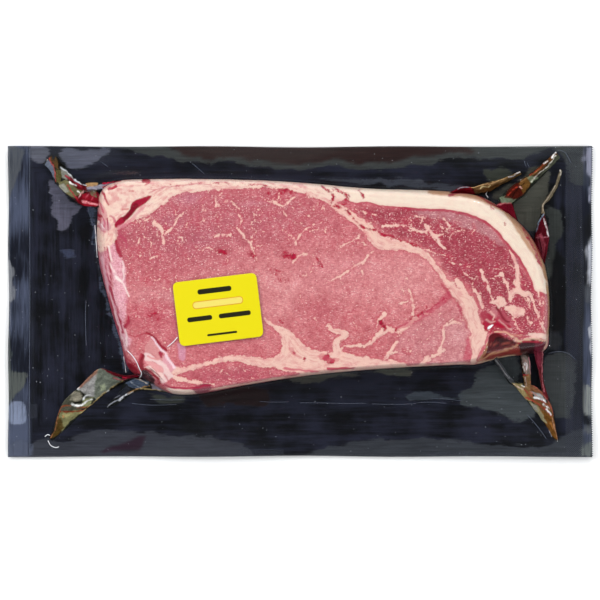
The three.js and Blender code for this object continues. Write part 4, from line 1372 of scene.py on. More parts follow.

# %% [markdown]
# ## The black backing film
#
# The backing is a laminate about a tenth of a millimetre thick, extruded as a web, printed or dyed
# black, and cut to length. It is glossy, with faint lines along the web. Where the clear film isn't
# pressed to it, air between the two turns the black to a greenish grey, in patches with a wavy
# edge. The same patches carry painted reflections in the gloss, and painted highlights along the
# clear film's fillet beside the steak.

# %% Air and light on the film, drawn
# Patches where air or juice lies between the films, and painted reflections: hex code, outline.
AIR_PATCHES = [
    # painted highlight: the clear film's fillet along the steak's left side
    ("4a5468", [
        (-106, 47), (-104.5, 40), (-103.5, 32), (-101.5, 20), (-99, 8), (-96, -4), (-93, -16),
        (-89.5, -27), (-88, -35), (-86, -36), (-86, -30), (-89, -22), (-93, -10), (-96, 0),
        (-99, 10), (-101, 20), (-102, 31), (-102.5, 43), (-103.5, 47),
    ]),
    ("0e0e11", [(124.5, 26), (130.5, 26), (131.5, -14), (124.5, -16)]),
    ("55555f", [(-135, 77.5), (-128, 77.5), (-125.5, 74), (-128, 69), (-131, 70), (-135, 72)]),
    ("545562", [
        (-119.7, 74.8), (-118, 76.4), (-106.3, 75.6), (-98, 77.2), (-94.7, 76.4), (-98.8, 72.2),
        (-101.3, 69), (-106.3, 67.8), (-114.7, 67.6), (-118, 70.6),
    ]),
    ("393b3a", [
        (-96, 78.5), (-70, 78.5), (-60, 76), (0, 75), (76, 78), (148, 79), (148, 60), (141, 58),
        (134, 60), (133, 70), (130, 75.5), (124, 76.5), (111, 71), (98, 71.8), (89.7, 72.4),
        (81.3, 71.8), (73, 71.4), (64.7, 68.9), (56, 68), (48, 66), (33.3, 66.4), (25, 66),
        (16.7, 68.2), (8.3, 67.3), (0, 66.8), (-8.3, 66.4), (-16.7, 67.3), (-25, 67.3),
        (-33.3, 69.2), (-48, 69.8), (-60.5, 70.6), (-73, 72.7), (-84.7, 76),
    ]),
    ("2b1c1a", [
        (-66, 79), (-60, 74.8), (-50, 72.6), (-33, 71.9), (-16.7, 70.8), (-8.3, 70.2), (0, 70.2),
        (8.3, 70.8), (16.7, 71.8), (25, 69.2), (33, 70.4), (41.7, 69.4), (50, 70.8), (58, 73.2),
        (72, 74.8), (86, 75.2), (76, 79),
    ]),
    ("585664", [
        (-125, 59), (-121.3, 59), (-117, 53), (-111.5, 48.5), (-109.7, 47.7), (-112, 44.7),
        (-114.7, 41.4), (-115.5, 38), (-118.8, 35), (-121.3, 37), (-122, 41.4), (-124, 44.7),
        (-124.3, 51.4),
    ]),
    ("34384a", [(-118.8, 26), (-113, 26), (-112, 22.3), (-118, 22.3)]),
    # painted highlight: the clear film's fillet along the steak's top edge
    ("3c3f48", [
        (8, 60.3), (20, 60.6), (35, 60.8), (48, 61), (60, 60), (72, 58.5), (81, 57.2), (80, 56),
        (60, 57), (40, 58), (20, 59),
    ]),
    ("33352e", [(92, 67), (97, 65.5), (103, 67), (107, 63), (104, 60.5), (97, 60), (93, 61.5)]),
    ("45443c", [
        (97, 53.5), (104, 58), (112, 62.5), (118, 67.5), (124, 66), (125, 58), (121.3, 46.4),
        (119, 38), (116, 34.7), (109, 41.4), (103, 48.5),
    ]),
    ("383a37", [
        (123.8, 48), (127, 47), (130.5, 42), (130.5, 34), (128, 29), (126, 20), (125.5, 12),
        (123.5, 12), (123.5, 30),
    ]),
    ("4a4c44", [
        (33, -33.6), (46, -33.2), (56.5, -33.6), (57, -36), (53, -37.6), (47, -37.4), (40, -36.2),
    ]),
    ("45453f", [
        (-5, -38), (10, -36.4), (25, -35.5), (30, -36), (22, -37.2), (12, -39.2), (6, -41),
        (-2, -40.6),
    ]),
    ("3e4244", [
        (78.8, -47.6), (85.5, -44.3), (87.2, -38.4), (93, -32.6), (98, -30.5), (101.3, -28),
        (108, -28.4), (110.5, -32.6), (108, -40), (111.3, -46), (114.7, -52.6), (118, -57.6),
        (106.3, -58.8), (101.3, -56.8), (94.7, -55), (88, -52.6), (79.7, -51.8),
    ]),
    ("3b3d3d", [
        (122.2, -26.8), (128, -25), (134.7, -26.8), (138, -31), (137.6, -41), (136.3, -49.3),
        (135.5, -56.8), (128, -57.6), (125.5, -51), (122.2, -44.3), (121.8, -34.3),
    ]),
    ("2c2d30", [(124.3, -16.3), (131, -17.5), (131.5, -22), (127, -23.5), (124, -22)]),
    ("33353a", [
        (-3.3, -79), (8.3, -74.3), (20.8, -72.2), (29, -69.7), (41.7, -68.8), (64.7, -68.8),
        (83, -69.7), (98, -71.8), (114.7, -72.6), (123, -71.8), (128, -69), (134, -66), (148, -64),
        (148, -79), (60, -79),
    ]),
    # painted sheen beside a line of highlight below the steak
    ("3a3f46", [
        (53, -46.5), (58, -44.8), (66, -45.2), (72, -47.6), (80, -48.6), (70, -49.3), (56, -49.4),
    ]),
    ("35363d", [
        (-135, -72), (-127, -69.3), (-118, -70), (-106.3, -66), (-93.8, -64.7), (-81.3, -65),
        (-68.8, -66), (-56.3, -67.2), (-48, -67.8), (-40, -68.5), (-33, -70.5), (-27, -73),
        (-20, -79), (-80, -79), (-135, -79),
    ]),
    ("2a1b26", [
        (-98, -75.5), (-91.3, -72.6), (-84.7, -70), (-78, -68), (-79.7, -71.8), (-82, -73.8),
        (-90, -75),
    ]),
    ("241819", [
        (-50, -44), (-44, -43), (-30, -42.5), (-18, -43), (-15, -47), (-16, -52), (-30, -52),
        (-50, -50.5),
    ]),
    ("393b36", [(-74.7, -46.2), (-65, -46.8), (-58, -48), (-60, -50.5), (-70, -50.4)]),
]

# Patches of light on the dented lips: hex code, outline.
LIP_LIGHTS = [
    ("54565a", [(-147, 77), (-138.5, 77), (-138.5, 71), (-141, 62), (-144, 54), (-147, 46)]),
    ("7e7e82", [(-147, 20), (-144.5, 19), (-142.4, 8), (-142, 4), (-144, 0), (-147, -1)]),
    ("4c504e", [(-147, -7), (-145.4, -12), (-144.4, -22), (-144.2, -30), (-145, -36), (-147, -36)]),
    ("5a5d58", [(-147, -36), (-136.5, -36.5), (-138, -42), (-141.5, -47), (-147, -53)]),
    ("565b6c", [(-147, -72), (-135.5, -70), (-135.5, -77.5), (-147, -77.5)]),
    ("8890a6", [(-145.5, -52), (-137.5, -51), (-137.5, -60), (-145.5, -61)]),
    ("8c8c9c", [(143, 77.5), (146.5, 77.5), (146.5, 48), (145, 52), (143.8, 62)]),
    ("141416", [(142, 44), (144.5, 44), (144.5, 6), (142, 6)]),
    ("c8c8d0", [(145, 32), (146.8, 32), (146.8, 6), (145.3, 10)]),
    ("54565c", [(142, 8), (146.5, 6), (146.5, 0), (142, 0)]),
    ("c8c8d0", [(144.5, -8), (146.8, -8), (146.8, -38), (145.4, -30)]),
    ("8a8c88", [(142, -41), (146.5, -43), (146.5, -57), (142, -56)]),
    ("16171c", [(142, -57), (146.5, -58), (146.5, -62), (142, -62)]),
    ("585a5c", [(142, -63), (146.5, -63), (146.5, -66), (142, -66)]),
    ("666a66", [(142, -71), (146.5, -70), (146.5, -77.5), (142, -77.5)]),
]
print("patches of air:", len(AIR_PATCHES), "and of light:", len(LIP_LIGHTS))

# %% [markdown]
# A sheet is a grid of points with a wall of the film's thickness, which Solidify would add too.
# Both faces are made here from the same relief instead, so they can't cross.

# %% The black backing film
SHEET_COLUMNS = 244
SHEET_ROWS = 130

u = np.linspace(-1, 1, SHEET_COLUMNS + 1)[:, None]
v = np.linspace(-1, 1, SHEET_ROWS + 1)[None, :]
sheet_x = u * (PACK_LENGTH / 2 - edge_pull(v))
sheet_y = v * (PACK_WIDTH / 2 - edge_pull(u))
sheet_xy = np.stack([sheet_x, sheet_y], axis=-1).reshape(-1, 2)
backing = thin_sheet(
    "backing_sheet", sheet_xy, sheet_height(sheet_xy), BACKING_THICKNESS, SHEET_COLUMNS, SHEET_ROWS
)

AIR_WAVER = 1.2  # how far the patches' edges stray
AIR_WAVER_SIZE = 5
AIR_EDGE = (-1.6, 0.2)
LIP_EDGE = (-1.4, 0.6)

wavy_at = wavering(sheet_xy, AIR_WAVER, AIR_WAVER_SIZE, (41, 42), octaves=3)
air_edge = np.full(len(sheet_xy), FAR)
air_colour = np.tile(colour("3c3e42"), (len(sheet_xy), 1))
for code, outline in AIR_PATCHES:
    away = patch_distance(wavy_at, outline)
    air_edge = np.minimum(air_edge, away)
    tint(air_colour, code, smooth_step(-away, *AIR_EDGE))
lip_light = np.zeros(len(sheet_xy))
for code, outline in LIP_LIGHTS:
    cover = patch_cover(wavy_at, outline, *LIP_EDGE)
    lip_light = np.maximum(lip_light, cover)
    tint(air_colour, code, cover)
from_edge = (np.array([PACK_LENGTH, PACK_WIDTH]) / 2 - np.abs(sheet_xy)).min(axis=1)
past_creases = np.maximum(END_CREASES[0] - sheet_xy[:, 0], sheet_xy[:, 0] - END_CREASES[1])
keep_fields(
    backing, air_edge=air_edge, air=air_colour, from_edge=from_edge,
    lip=smooth_step(past_creases, -0.2, 0.6), lip_light=lip_light,
)
print("backing:", len(backing.data.polygons), "faces")

# %% [markdown]
# The colour of the black film is three things laid over each other: the black itself, the grey
# where air lies under the clear film, which also carries painted reflections, and the lips outside
# the seals, with painted light on them. The distances and colours kept on the mesh say where each
# of them is, and noise that is combed along the web breaks up their edges, which a plain dark gloss
# wouldn't show.

# %% Black laminate film as a material
DRAW_LINES = 0.9  # millimetres between the faint lines that run along the nearest edge
FILM_IOR = 1.5


def black_laminate():
    """Extruded black packaging film: dark, glossy, with faint lines along its edges, and grey patches
    of air and of painted reflection.
    """
    material, tree = new_material("black_laminate")
    place = put(tree, "ShaderNodeTexCoord").outputs["Object"]
    drawn = edgewise(tree, place, "from_edge", 0.05)
    lines = grains(tree, drawn, DRAW_LINES)
    clouds = grains(tree, place, 16.0, 2.0)
    fine = grains(tree, place, 0.8, 2.0)
    broad = grains(tree, drawn, 5.0, 2.0)
    tone = sums(tree, "ADD", sums(tree, "MULTIPLY_ADD", clouds, 1.2, lines), broad)
    film = blend(tree, between(tree, tone, 1.4, 1.85), colour("0a0a0e"), colour("21222f"))
    combed = grains(tree, place, 1.3, 4.0, stretch=(10, 1, 1))
    air = stored(tree, "air", "Color")
    shade = between(tree, sums(tree, "ADD", lines, combed), 0.7, 1.3, 0.7, 1.3)
    bands = vectors(tree, "SCALE", {0: air, 3: shade})
    edge = sums(tree, "MULTIPLY_ADD", combed, 5.0, stored(tree, "air_edge"))
    edge = sums(tree, "MULTIPLY_ADD", fine, 1.5, edge)
    loose = blend(tree, between(tree, edge, 3.7, 2.8), film, bands)
    # The lips outside the seals are stiff, and dented across; their dents are painted reflection, in
    # lighter and darker bands.
    upright = grains(tree, place, 0.8, stretch=(1, 20, 1))
    dents = grains(tree, place, 26.0, 1.0, stretch=(2, 1, 1))
    dents = between(tree, sums(tree, "MULTIPLY_ADD", dents, 1.6, upright), 1.1, 1.6)
    lip_tone = blend(tree, dents, colour("141620"), colour("50566a"))
    lit = sums(tree, "MULTIPLY_ADD", upright, 1.5, stored(tree, "lip_light"))
    lip_lit = blend(tree, between(tree, lit, 1.35, 1.8), lip_tone, air)
    base = blend(tree, sums(tree, "MULTIPLY", stored(tree, "lip"), 0.9), loose, lip_lit)
    shader = put(tree, "ShaderNodeBsdfPrincipled", {
        "Base Color": base, "Roughness": 0.3, "IOR": FILM_IOR,
        "Normal": bumped(tree, lines, 0.15, 0.12),
    })
    finish_material(tree, shader)
    return material


backing.data.materials.append(black_laminate())
print("made", backing.data.materials[0].name)

# %% [markdown]
# ## The clear film
#
# The top film is soft when it meets the meat, so it takes the meat's shape: flat over the cut face,
# round the rim, down the side, and out on to the backing in a small fillet. It is made of the same
# rings as the steak, a little larger, and goes on to the pack's edge.
#
# Real film is thin enough that light isn't bent as it passes. Clear glass as a shader would bend
# it, and would take long to render, so the material is plain transparency with a shine over it that
# grows towards grazing angles.

# %% The clear film
FILM_COLUMNS = 168
FILM_ROWS = 80
FILM_SIDE_RINGS = 12
FLANGE_RINGS = 34
FILLET_RINGS = 6

film_stations = Stations(FILM_COLUMNS, FILM_ROWS)
flange_start = film_stations.foot + (GAP + FILLET) * film_stations.outward
film_edge = pack_edge(film_stations.foot)
for corner_sign in product((-1, 1), repeat=2):
    corner = np.array(corner_sign) * (PACK_LENGTH / 2, PACK_WIDTH / 2)
    film_edge[np.argmin(np.linalg.norm(film_edge - corner, axis=1))] = corner


def film_surface(offset):
    """One face of the clear film. The offset is 0 below, and the film's thickness above."""
    rings = []
    for share in np.linspace(1, 0, FLANGE_RINGS, endpoint=False):
        ring = flange_start + share * (film_edge - flange_start)
        rings.append(np.column_stack([ring, STEAK_BASE + offset + sheet_height(ring)]))
    radius = FILLET - offset
    for degrees in np.linspace(90, 0, FILLET_RINGS, endpoint=False):
        angle = math.radians(degrees)
        out = GAP + FILLET - radius * math.cos(angle)
        ring = film_stations.foot + out * film_stations.outward
        height = STEAK_BASE + FILLET - radius * math.sin(angle)
        rings.append(np.column_stack([ring, np.full(len(ring), height)]))
    rings += side_rings(film_stations, FILM_SIDE_RINGS, GAP + offset)[2:]
    return skin(film_stations, rings, lambda xy: face_height(xy) + GAP + offset)


upper, upper_faces = film_surface(FILM_THICKNESS)
lower = film_surface(0)[0]
film_ring = np.arange(len(film_edge))
film = new_piece("clear_sheet", np.vstack([upper, lower]), [
    upper_faces, upper_faces[:, ::-1] + len(upper), wall(film_ring, len(upper)),
])
print("clear film:", len(film.data.polygons), "faces")

# %% [markdown]
# A transparent shader lets light straight through, and a glossy one is mixed over it for the shine.
# The mix comes from a Fresnel node, and only the film's outer side has it: a solid film would
# otherwise reflect twice. The pleats are of the same film, so the shine is a helper of its own.

# %% Clear packaging film as a material
def with_shine(tree, under, normal, roughness, most=1.0):
    """Lays a film's shine over a shader. It grows to most at grazing angles, on the outer side."""
    fresnel = put(tree, "ShaderNodeFresnel", {"IOR": FILM_IOR, "Normal": normal}).outputs[0]
    inner_side = put(tree, "ShaderNodeNewGeometry").outputs["Backfacing"]
    outer_side = sums(tree, "SUBTRACT", 1.0, inner_side)
    shine = sums(tree, "MULTIPLY", between(tree, fresnel, 0.04, 1.0, 0.04, most), outer_side)
    gloss = put(tree, "ShaderNodeBsdfAnisotropic", {"Roughness": roughness, "Normal": normal})
    inputs = {0: shine, 1: under.outputs[0], 2: gloss.outputs[0]}
    return put(tree, "ShaderNodeMixShader", inputs)


def clear_packaging():
    """Clear heat-shrunk packaging film: see-through, with a sharp shine."""
    material, tree = new_material("clear_packaging")
    place = put(tree, "ShaderNodeTexCoord").outputs["Object"]
    inputs = {"Vector": place, "Scale": per_metre(4), "Detail": 2.0}
    ripple = put(tree, "ShaderNodeTexNoise", inputs).outputs["Fac"]
    normal = bumped(tree, ripple, 0.25, 0.25)
    clear = put(tree, "ShaderNodeBsdfTransparent", {"Color": colour("fafbfc")})
    finish_material(tree, with_shine(tree, clear, normal, 0.07, most=0.4))
    return material


film.data.materials.append(clear_packaging())
print("made", film.data.materials[0].name)

# %% [markdown]
# ## Seal pattern, teeth, creases and dust
#
# A heated bar seals the ends, and its knurled face leaves rows of small pips in the film. The pack
# is cut off the web by a toothed knife. Sharp creases run along the seals and out from the corners,
# and specks of dust cling to the film. The creases' pale colour is partly painted highlight, and
# the brightest are painted glints.

# %% Seals and creases, drawn
# Rectangles with seal pips: x from and to, y from and to.
PIP_BANDS = [
    (133, 141, -77, 77), (-136, -131, -58, -51), (64, 131, -77.2, -75.6), (-30, -8, -76.6, -73.6),
]
# Creases, whose pale colour is partly painted highlight: path.
CREASES = [
    [(-135.0, -77.3), (-135.2, -40), (-135.0, 0), (-135.1, 40), (-135.0, 77.3)],
    [(129, 75.8), (132, 74.8), (134, 72.2), (135.5, 69.2)],
    [(113.8, -56.8), (118.8, -62.6), (123, -68.4)],
    [(124.3, -25.9), (129.7, -25), (134.7, -26.3), (138, -29.3)],
    [(-20, -50), (-14, -50.3), (-6, -50.2)],
    [(0, -50.6), (12, -50.7), (24, -51), (33, -50.8)],
    [(36, -51.2), (50, -51.4), (58, -51)],
    [(59, -50.4), (66, -50.3), (73, -50.9)],
    [(66, -48.6), (74, -48.8), (80.5, -49.6)],
    [(-75, -48.8), (-66, -49.2), (-58, -49)],
    [(-84, -51), (-74, -51.8), (-62, -51.5)],
    [(-106, 47.2), (-104, 39.7), (-102, 33)],
    [(-98, 77), (-94.7, 75.6)],
    [(-99.3, 69.8), (-96, 67.3)],
    [(-53.8, 69), (-48, 64)],
    [(-107, 0.7), (-107.2, -9), (-106.9, -22)],
    [(112, 70.5), (113, 67.5)],
    [(113.5, 69.5), (114.5, 67)],
]
# Creases painted near white as glints: path.
BRIGHT_CREASES = [
    [(-86, -24.5), (-83.5, -27), (-81.5, -30), (-80, -33.5), (-79, -36), (-80, -38), (-81, -38.8)],
    [(-88, -27.5), (-87.5, -31), (-87, -35.5)],
    [(-102.5, 38), (-101.8, 30), (-101.3, 22)],
    [(-66, -22.5), (-63.5, -20.5), (-61, -17.8)],
    [(-126, -69.5), (-124.5, -72), (-122, -73), (-120.5, -72.6)],
    [(-127.5, -67.5), (-126, -66.5), (-125, -67)],
    [(94.5, 55.8), (93, 53.8), (94, 52)],
]
print("creases:", len(CREASES), "and bright ones:", len(BRIGHT_CREASES))

# %% [markdown]
# All of these repeat or follow a line, so Geometry Nodes makes them: a source mesh gives the
# places, and the tree puts a pip, a tooth or a speck on each, or sweeps a profile along each line.
# Copies made in a loop would do too, but a tree is the quicker way to hundreds of them.

# %% Geometry Nodes
def on_sheet(xy, height):
    """Points a little above the sealed films."""
    xy = np.asarray(xy, float)
    return np.column_stack([xy, STEAK_BASE + FILM_THICKNESS + height + sheet_height(xy)])


def on_film(xy, height):
    """Points on the clear film, found by looking down on it."""
    film_tree = BVHTree.FromObject(film, bpy.context.evaluated_depsgraph_get())
    down = Vector((0, 0, -1))
    hits = [film_tree.ray_cast(Vector((x * MM, y * MM, 1)), down)[0].z / MM for x, y in xy]
    return np.column_stack([xy, np.array(hits) + height])


def source_mesh(name, points, edges=(), faces=()):
    """A mesh that only Geometry Nodes reads."""
    mesh = bpy.data.meshes.new(name)
    mesh.from_pydata((points * MM).tolist(), list(edges), list(faces))
    return mesh


def new_tree(name, titles):
    """A Geometry Nodes tree with an input for each length, and the node that hands them on."""
    tree = bpy.data.node_groups.new(name, "GeometryNodeTree")
    tree.interface.new_socket("Geometry", in_out="INPUT", socket_type="NodeSocketGeometry")
    for title in titles:
        tree.interface.new_socket(title, in_out="INPUT", socket_type="NodeSocketFloat")
    tree.interface.new_socket("Geometry", in_out="OUTPUT", socket_type="NodeSocketGeometry")
    return tree, put(tree, "NodeGroupInput").outputs


def grown(name, mesh, tree, geometry, material, **inputs):
    """Runs a tree on a mesh, and keeps what comes out as a plain object."""
    solid = put(tree, "GeometryNodeRealizeInstances", {0: geometry}).outputs[0]
    coated = put(tree, "GeometryNodeSetMaterial", {0: solid, "Material": material}).outputs[0]
    put(tree, "NodeGroupOutput", {0: coated})
    source = bpy.data.objects.new(name + "_source", mesh)
    bpy.context.scene.collection.objects.link(source)
    modifier = source.modifiers.new("growth", "NODES")
    modifier.node_group = tree
    for item in tree.interface.items_tree:
        if item.in_out == "INPUT" and item.name in inputs:
            modifier[item.identifier] = inputs[item.name]
    seen = source.evaluated_get(bpy.context.evaluated_depsgraph_get())
    result = bpy.data.objects.new(name, bpy.data.meshes.new_from_object(seen))
    bpy.data.objects.remove(source)
    bpy.context.scene.collection.objects.link(result)
    print(name, len(result.data.polygons), "faces")
    return result


def frosted_film(name, code, clearness):
    """Clear film that turns whitish where it is stretched and dented; on creases its colour is also
    painted highlight.
    """
    material, tree = new_material(name)
    clear = put(tree, "ShaderNodeBsdfTransparent")
    milky = put(tree, "ShaderNodeBsdfPrincipled", {"Base Color": colour(code), "Roughness": 0.25})
    inputs = {0: clearness, 1: milky.outputs[0], 2: clear.outputs[0]}
    finish_material(tree, put(tree, "ShaderNodeMixShader", inputs))
    return material


print("the film over the steak is", on_film([CENTRE], 0)[0, 2].round(1), "mm up")

# %% [markdown]
# The pips and the teeth are the same low cone with four sides, which is all that shows at their
# size. A bump in the shader would be cheaper, but the cut edge has to look toothed in outline.

# %% Pips and teeth
PIP_PITCH = 1.0
TOOTH_PITCH = 1.1
TEETH_REACH = 77  # to each side
RAISED = 0.02  # how far the pips and creases lie above the film


def pip_places():
    """Places in a diamond pattern."""
    for x0, x1, y0, y1 in PIP_BANDS:
        rows = np.arange(y0, y1, PIP_PITCH / 2)
        for k, y in enumerate(rows):
            for x in np.arange(x0 + (k % 2) * PIP_PITCH / 2, x1, PIP_PITCH):
                yield x, y


def one_on_each(name, points, shape, material, turn=(0, 0, 0), **inputs):
    """The same small shape on every point."""
    tree, ways_in = new_tree(name, inputs)
    piece = shape(tree, ways_in)
    placed = put(tree, "GeometryNodeInstanceOnPoints", {
        "Points": ways_in["Geometry"], "Instance": piece, "Rotation": turn,
    }).outputs[0]
    return grown(name, source_mesh(name, points), tree, placed, material, **inputs)


def low_cone(tree, ways_in):
    """A four-sided cone."""
    return put(tree, "GeometryNodeMeshCone", {
        "Vertices": 4, "Radius Top": 0.0, "Radius Bottom": ways_in["Radius"],
        "Depth": ways_in["Height"],
    }).outputs[0]


pips = one_on_each(
    "seal_pips", on_sheet(list(pip_places()), RAISED), low_cone,
    frosted_film("frosted_seal", "4c505c", 0.5), Radius=0.26 * MM, Height=0.12 * MM,
)
tooth_y = np.arange(-TEETH_REACH, TEETH_REACH + 0.2, TOOTH_PITCH)
tooth_xy = pack_edge(np.column_stack([np.full(len(tooth_y), PACK_LENGTH / 2), tooth_y]))
teeth = one_on_each(
    "cut_teeth", on_sheet(tooth_xy - (0.15, 0), -FILM_THICKNESS), low_cone,
    frosted_film("frosted_edge", "3a4258", 0.2), turn=(0, math.pi / 2, 0),
    Radius=0.3 * MM, Height=0.8 * MM,
)

# %% [markdown]
# A crease is a sharp fold that stands up from the film and turns whitish; its pale colour is partly
# painted highlight, and the bright creases are painted glints. It is swept as a thin round bead that
# lies half in the film, so it needs no cut in the film's mesh.

# %% Creases
def crease_mesh(paths):
    """Creases as lines of short edges."""
    points, edges = [], []
    for path in paths:
        steps = 12 * (len(path) - 1) + 1
        line = curve(path, np.linspace(0, len(path) - 1, steps), closed=False)
        first = sum(len(part) for part in points)
        edges += [(first + k, first + k + 1) for k in range(steps - 1)]
        points.append(on_film(line, RAISED))
    return source_mesh("creases", np.vstack(points), edges)


def creased(name, paths, material, **inputs):
    """A thin round bead along each path."""
    tree, ways_in = new_tree(name, inputs)
    lines = put(tree, "GeometryNodeMeshToCurve", {0: ways_in["Geometry"]}).outputs[0]
    circle = put(tree, "GeometryNodeCurvePrimitiveCircle", {
        "Resolution": 6, "Radius": ways_in["Radius"],
    }).outputs[0]
    swept = put(tree, "GeometryNodeCurveToMesh", {
        0: lines, "Profile Curve": circle, "Fill Caps": True,
    }).outputs[0]
    return grown(name, crease_mesh(paths), tree, swept, material, **inputs)


creases = creased(
    "film_creases", CREASES, frosted_film("creased_film", "6c7486", 0.55), Radius=0.13 * MM
)
glints = creased(
    "bright_creases", BRIGHT_CREASES, frosted_film("white_crease", "f2f4f8", 0.15), Radius=0.2 * MM
)

# %% [markdown]
# Dust is scattered by a number of specks per square metre over a coarse copy of the film. Each is a
# small ball, stretched and turned at random, because equal specks would look like print.

# %% Dust
DUST_COLUMNS = 60
DUST_ROWS = 34
DUST_DENSITY = 9000.0  # specks per square metre


def random_vectors(tree, **inputs):
    """A vector for each speck, between two others."""
    return put(tree, "FunctionNodeRandomValue", inputs, data_type="FLOAT_VECTOR").outputs[0]


dust_xy = list(product(np.linspace(-145, 145, DUST_COLUMNS), np.linspace(-77, 77, DUST_ROWS)))
numbers = np.arange(len(dust_xy)).reshape(DUST_COLUMNS, DUST_ROWS)
dust_ground = source_mesh("dust", on_sheet(dust_xy, 0.03), faces=quads(numbers).tolist())
tree, ways_in = new_tree("dust", ["Radius"])
spots = put(tree, "GeometryNodeDistributePointsOnFaces", {
    "Mesh": ways_in["Geometry"], "Density": DUST_DENSITY, "Seed": 3,
}).outputs[0]
speck = put(tree, "GeometryNodeMeshIcoSphere", {
    "Radius": ways_in["Radius"], "Subdivisions": 1,
}).outputs[0]
specks = put(tree, "GeometryNodeInstanceOnPoints", {
    "Points": spots, "Instance": speck,
    "Scale": random_vectors(tree, Min=(0.4, 0.4, 0.2), Max=(1.6, 1.0, 0.4), Seed=5),
    "Rotation": random_vectors(tree, Max=(0.0, 0.0, 6.28), Seed=6),
}).outputs[0]
dust = grown(
    "dust_specks", dust_ground, tree, specks, frosted_film("dust", "b0b4be", 0.35), Radius=0.2 * MM
)

# %% [markdown]
# ## Pleats
#
# Flat film can't cover a block without being left over at the corners, so there it gathers into
# pleats that stand against the meat and are pressed down towards the corners of the pack. A pleat
# is a fold: two layers of film, stuck together by the juice between them. It is crumpled, so it is
# made of small flat facets. Cloth simulation could gather it, but not in the places where it is, so
# each pleat is drawn by the curve of its root on the backing and by the curve of its crest.

# %% Pleats, drawn
# Root x, y; then the crest's x, y and height.
PLEATS = [
    (
        [
            (-98, 55), (-102.5, 57), (-107, 58), (-110, 59.5), (-114, 63), (-117.5, 67), (-120, 71),
            (-121.5, 75.5),
        ],
        [
            (-100, 47, 12), (-104, 47.5, 11), (-108.5, 48, 10), (-113, 51, 8.5), (-119, 56, 7),
            (-122, 59, 5.5), (-124.5, 65, 3.5), (-128.5, 69, 1.4),
        ],
    ),
    (
        [(-107, 59), (-102.5, 59), (-97.5, 59), (-90.5, 60.5)],
        [(-108, 56, 7), (-103, 56, 8), (-98, 55, 10), (-91.5, 57, 14)],
    ),
    (
        [
            (-79, -38), (-86.5, -39), (-91.5, -42), (-97, -45.5), (-102.5, -50), (-109, -55.5),
            (-115.5, -62), (-124, -69.5),
        ],
        [
            (-80, -36, 11), (-87, -37, 10), (-94, -35, 9), (-100, -33.5, 8.5), (-110.5, -43, 7),
            (-118, -50, 5.5), (-121, -57, 4), (-125, -68.5, 1.2),
        ],
    ),
    (
        [(-66, -45), (-74, -44), (-80, -44), (-84.5, -46), (-90, -50), (-96.5, -53)],
        [
            (-67, -42, 7), (-74.5, -40.5, 7), (-81, -38.5, 6), (-87.5, -41, 4.5), (-91.5, -47, 3),
            (-96, -51.5, 0.9),
        ],
    ),
    (
        [(74.5, 52), (81.5, 53.5), (88, 54), (94, 55), (99.5, 58), (104.5, 60.5), (110.5, 64)],
        [
            (74.5, 54, 13), (81, 57, 9), (87, 57, 7), (93, 59, 6), (99, 60.5, 4.5),
            (104.5, 62.5, 3), (110, 65, 1.2),
        ],
    ),
    (
        [(108.5, 40), (106.5, 49), (111.5, 53), (115, 57), (119, 61), (124, 66), (130, 72)],
        [
            (97.5, 47, 15), (100, 52, 11), (105, 57, 8), (110, 60.5, 6.5), (116, 64.5, 5),
            (122.5, 70, 3), (128, 75, 1.2),
        ],
    ),
    (
        [
            (121, 19), (118.5, 23), (117.5, 31), (119, 38), (121, 44), (122, 49), (125.5, 52),
            (128.5, 57.5), (131, 66),
        ],
        [
            (122, 19, 9), (123, 25, 12), (124, 32, 11), (123, 39, 9), (122, 44, 6), (121, 48, 4.5),
            (124, 53, 3.5), (127.5, 58.5, 2.5), (130, 66, 0.9),
        ],
    ),
    (
        [
            (96, -28), (100.5, -34), (104.5, -40), (108, -42.5), (112.5, -48), (117, -53.5),
            (122, -61), (126, -70),
        ],
        [
            (98, -28, 8), (102, -33.5, 7), (106, -39, 6), (111.5, -41, 6.5), (118.5, -43, 7),
            (125, -51, 6.2), (127, -60, 4), (129, -70, 1.2),
        ],
    ),
    (
        [(109.5, -24), (110.5, -29), (111.5, -36), (113, -43)],
        [(112.5, -24, 11), (114.5, -29, 8.5), (115, -35, 7), (115, -43, 6)],
    ),
    (
        [(123, -19), (121.5, -25), (121, -32), (121.5, -41), (124, -49)],
        [(115, -20, 16), (117, -26, 12), (119, -34, 9), (120, -40, 7.5), (121.5, -47, 6.5)],
    ),
]
print("pleats:", len(PLEATS))

# %% [markdown]
# Between root and crest the pleat is a straight surface, crumpled by three folded waves that cross
# each other. Folded waves are zigzags, which give flat facets with sharp edges between them, where
# smooth noise would give soft bumps.

# %% Pleats
PLEAT_RINGS = 110  # steps from the meat to the tip
PLEAT_STEPS = 28  # steps from root to crest
PLEAT_THICKNESS = (1.1, 0.5)  # at the root and at the crest
PLEAT_FLOOR = 0.85  # the crest's heights are counted from here
CRUMPLE = 0.7
CRUMPLE_WIDTH = 7  # a pleat narrower than this crumples less
CRUMPLE_AT_EDGES = 0.25  # the share that is left at the root and at the crest
# The folded waves: strength, steps along the pleat and up it, length.
CRUMPLE_WAVES = [(0.5, 1, 0.9, 5.2), (0.4, 1, -1.3, 3.7), (0.3, 0.25, 1.6, 3.1)]


def folded(value):
    """A zigzag between -1 and 1."""
    return 2 * np.abs(value % 2 - 1) - 1


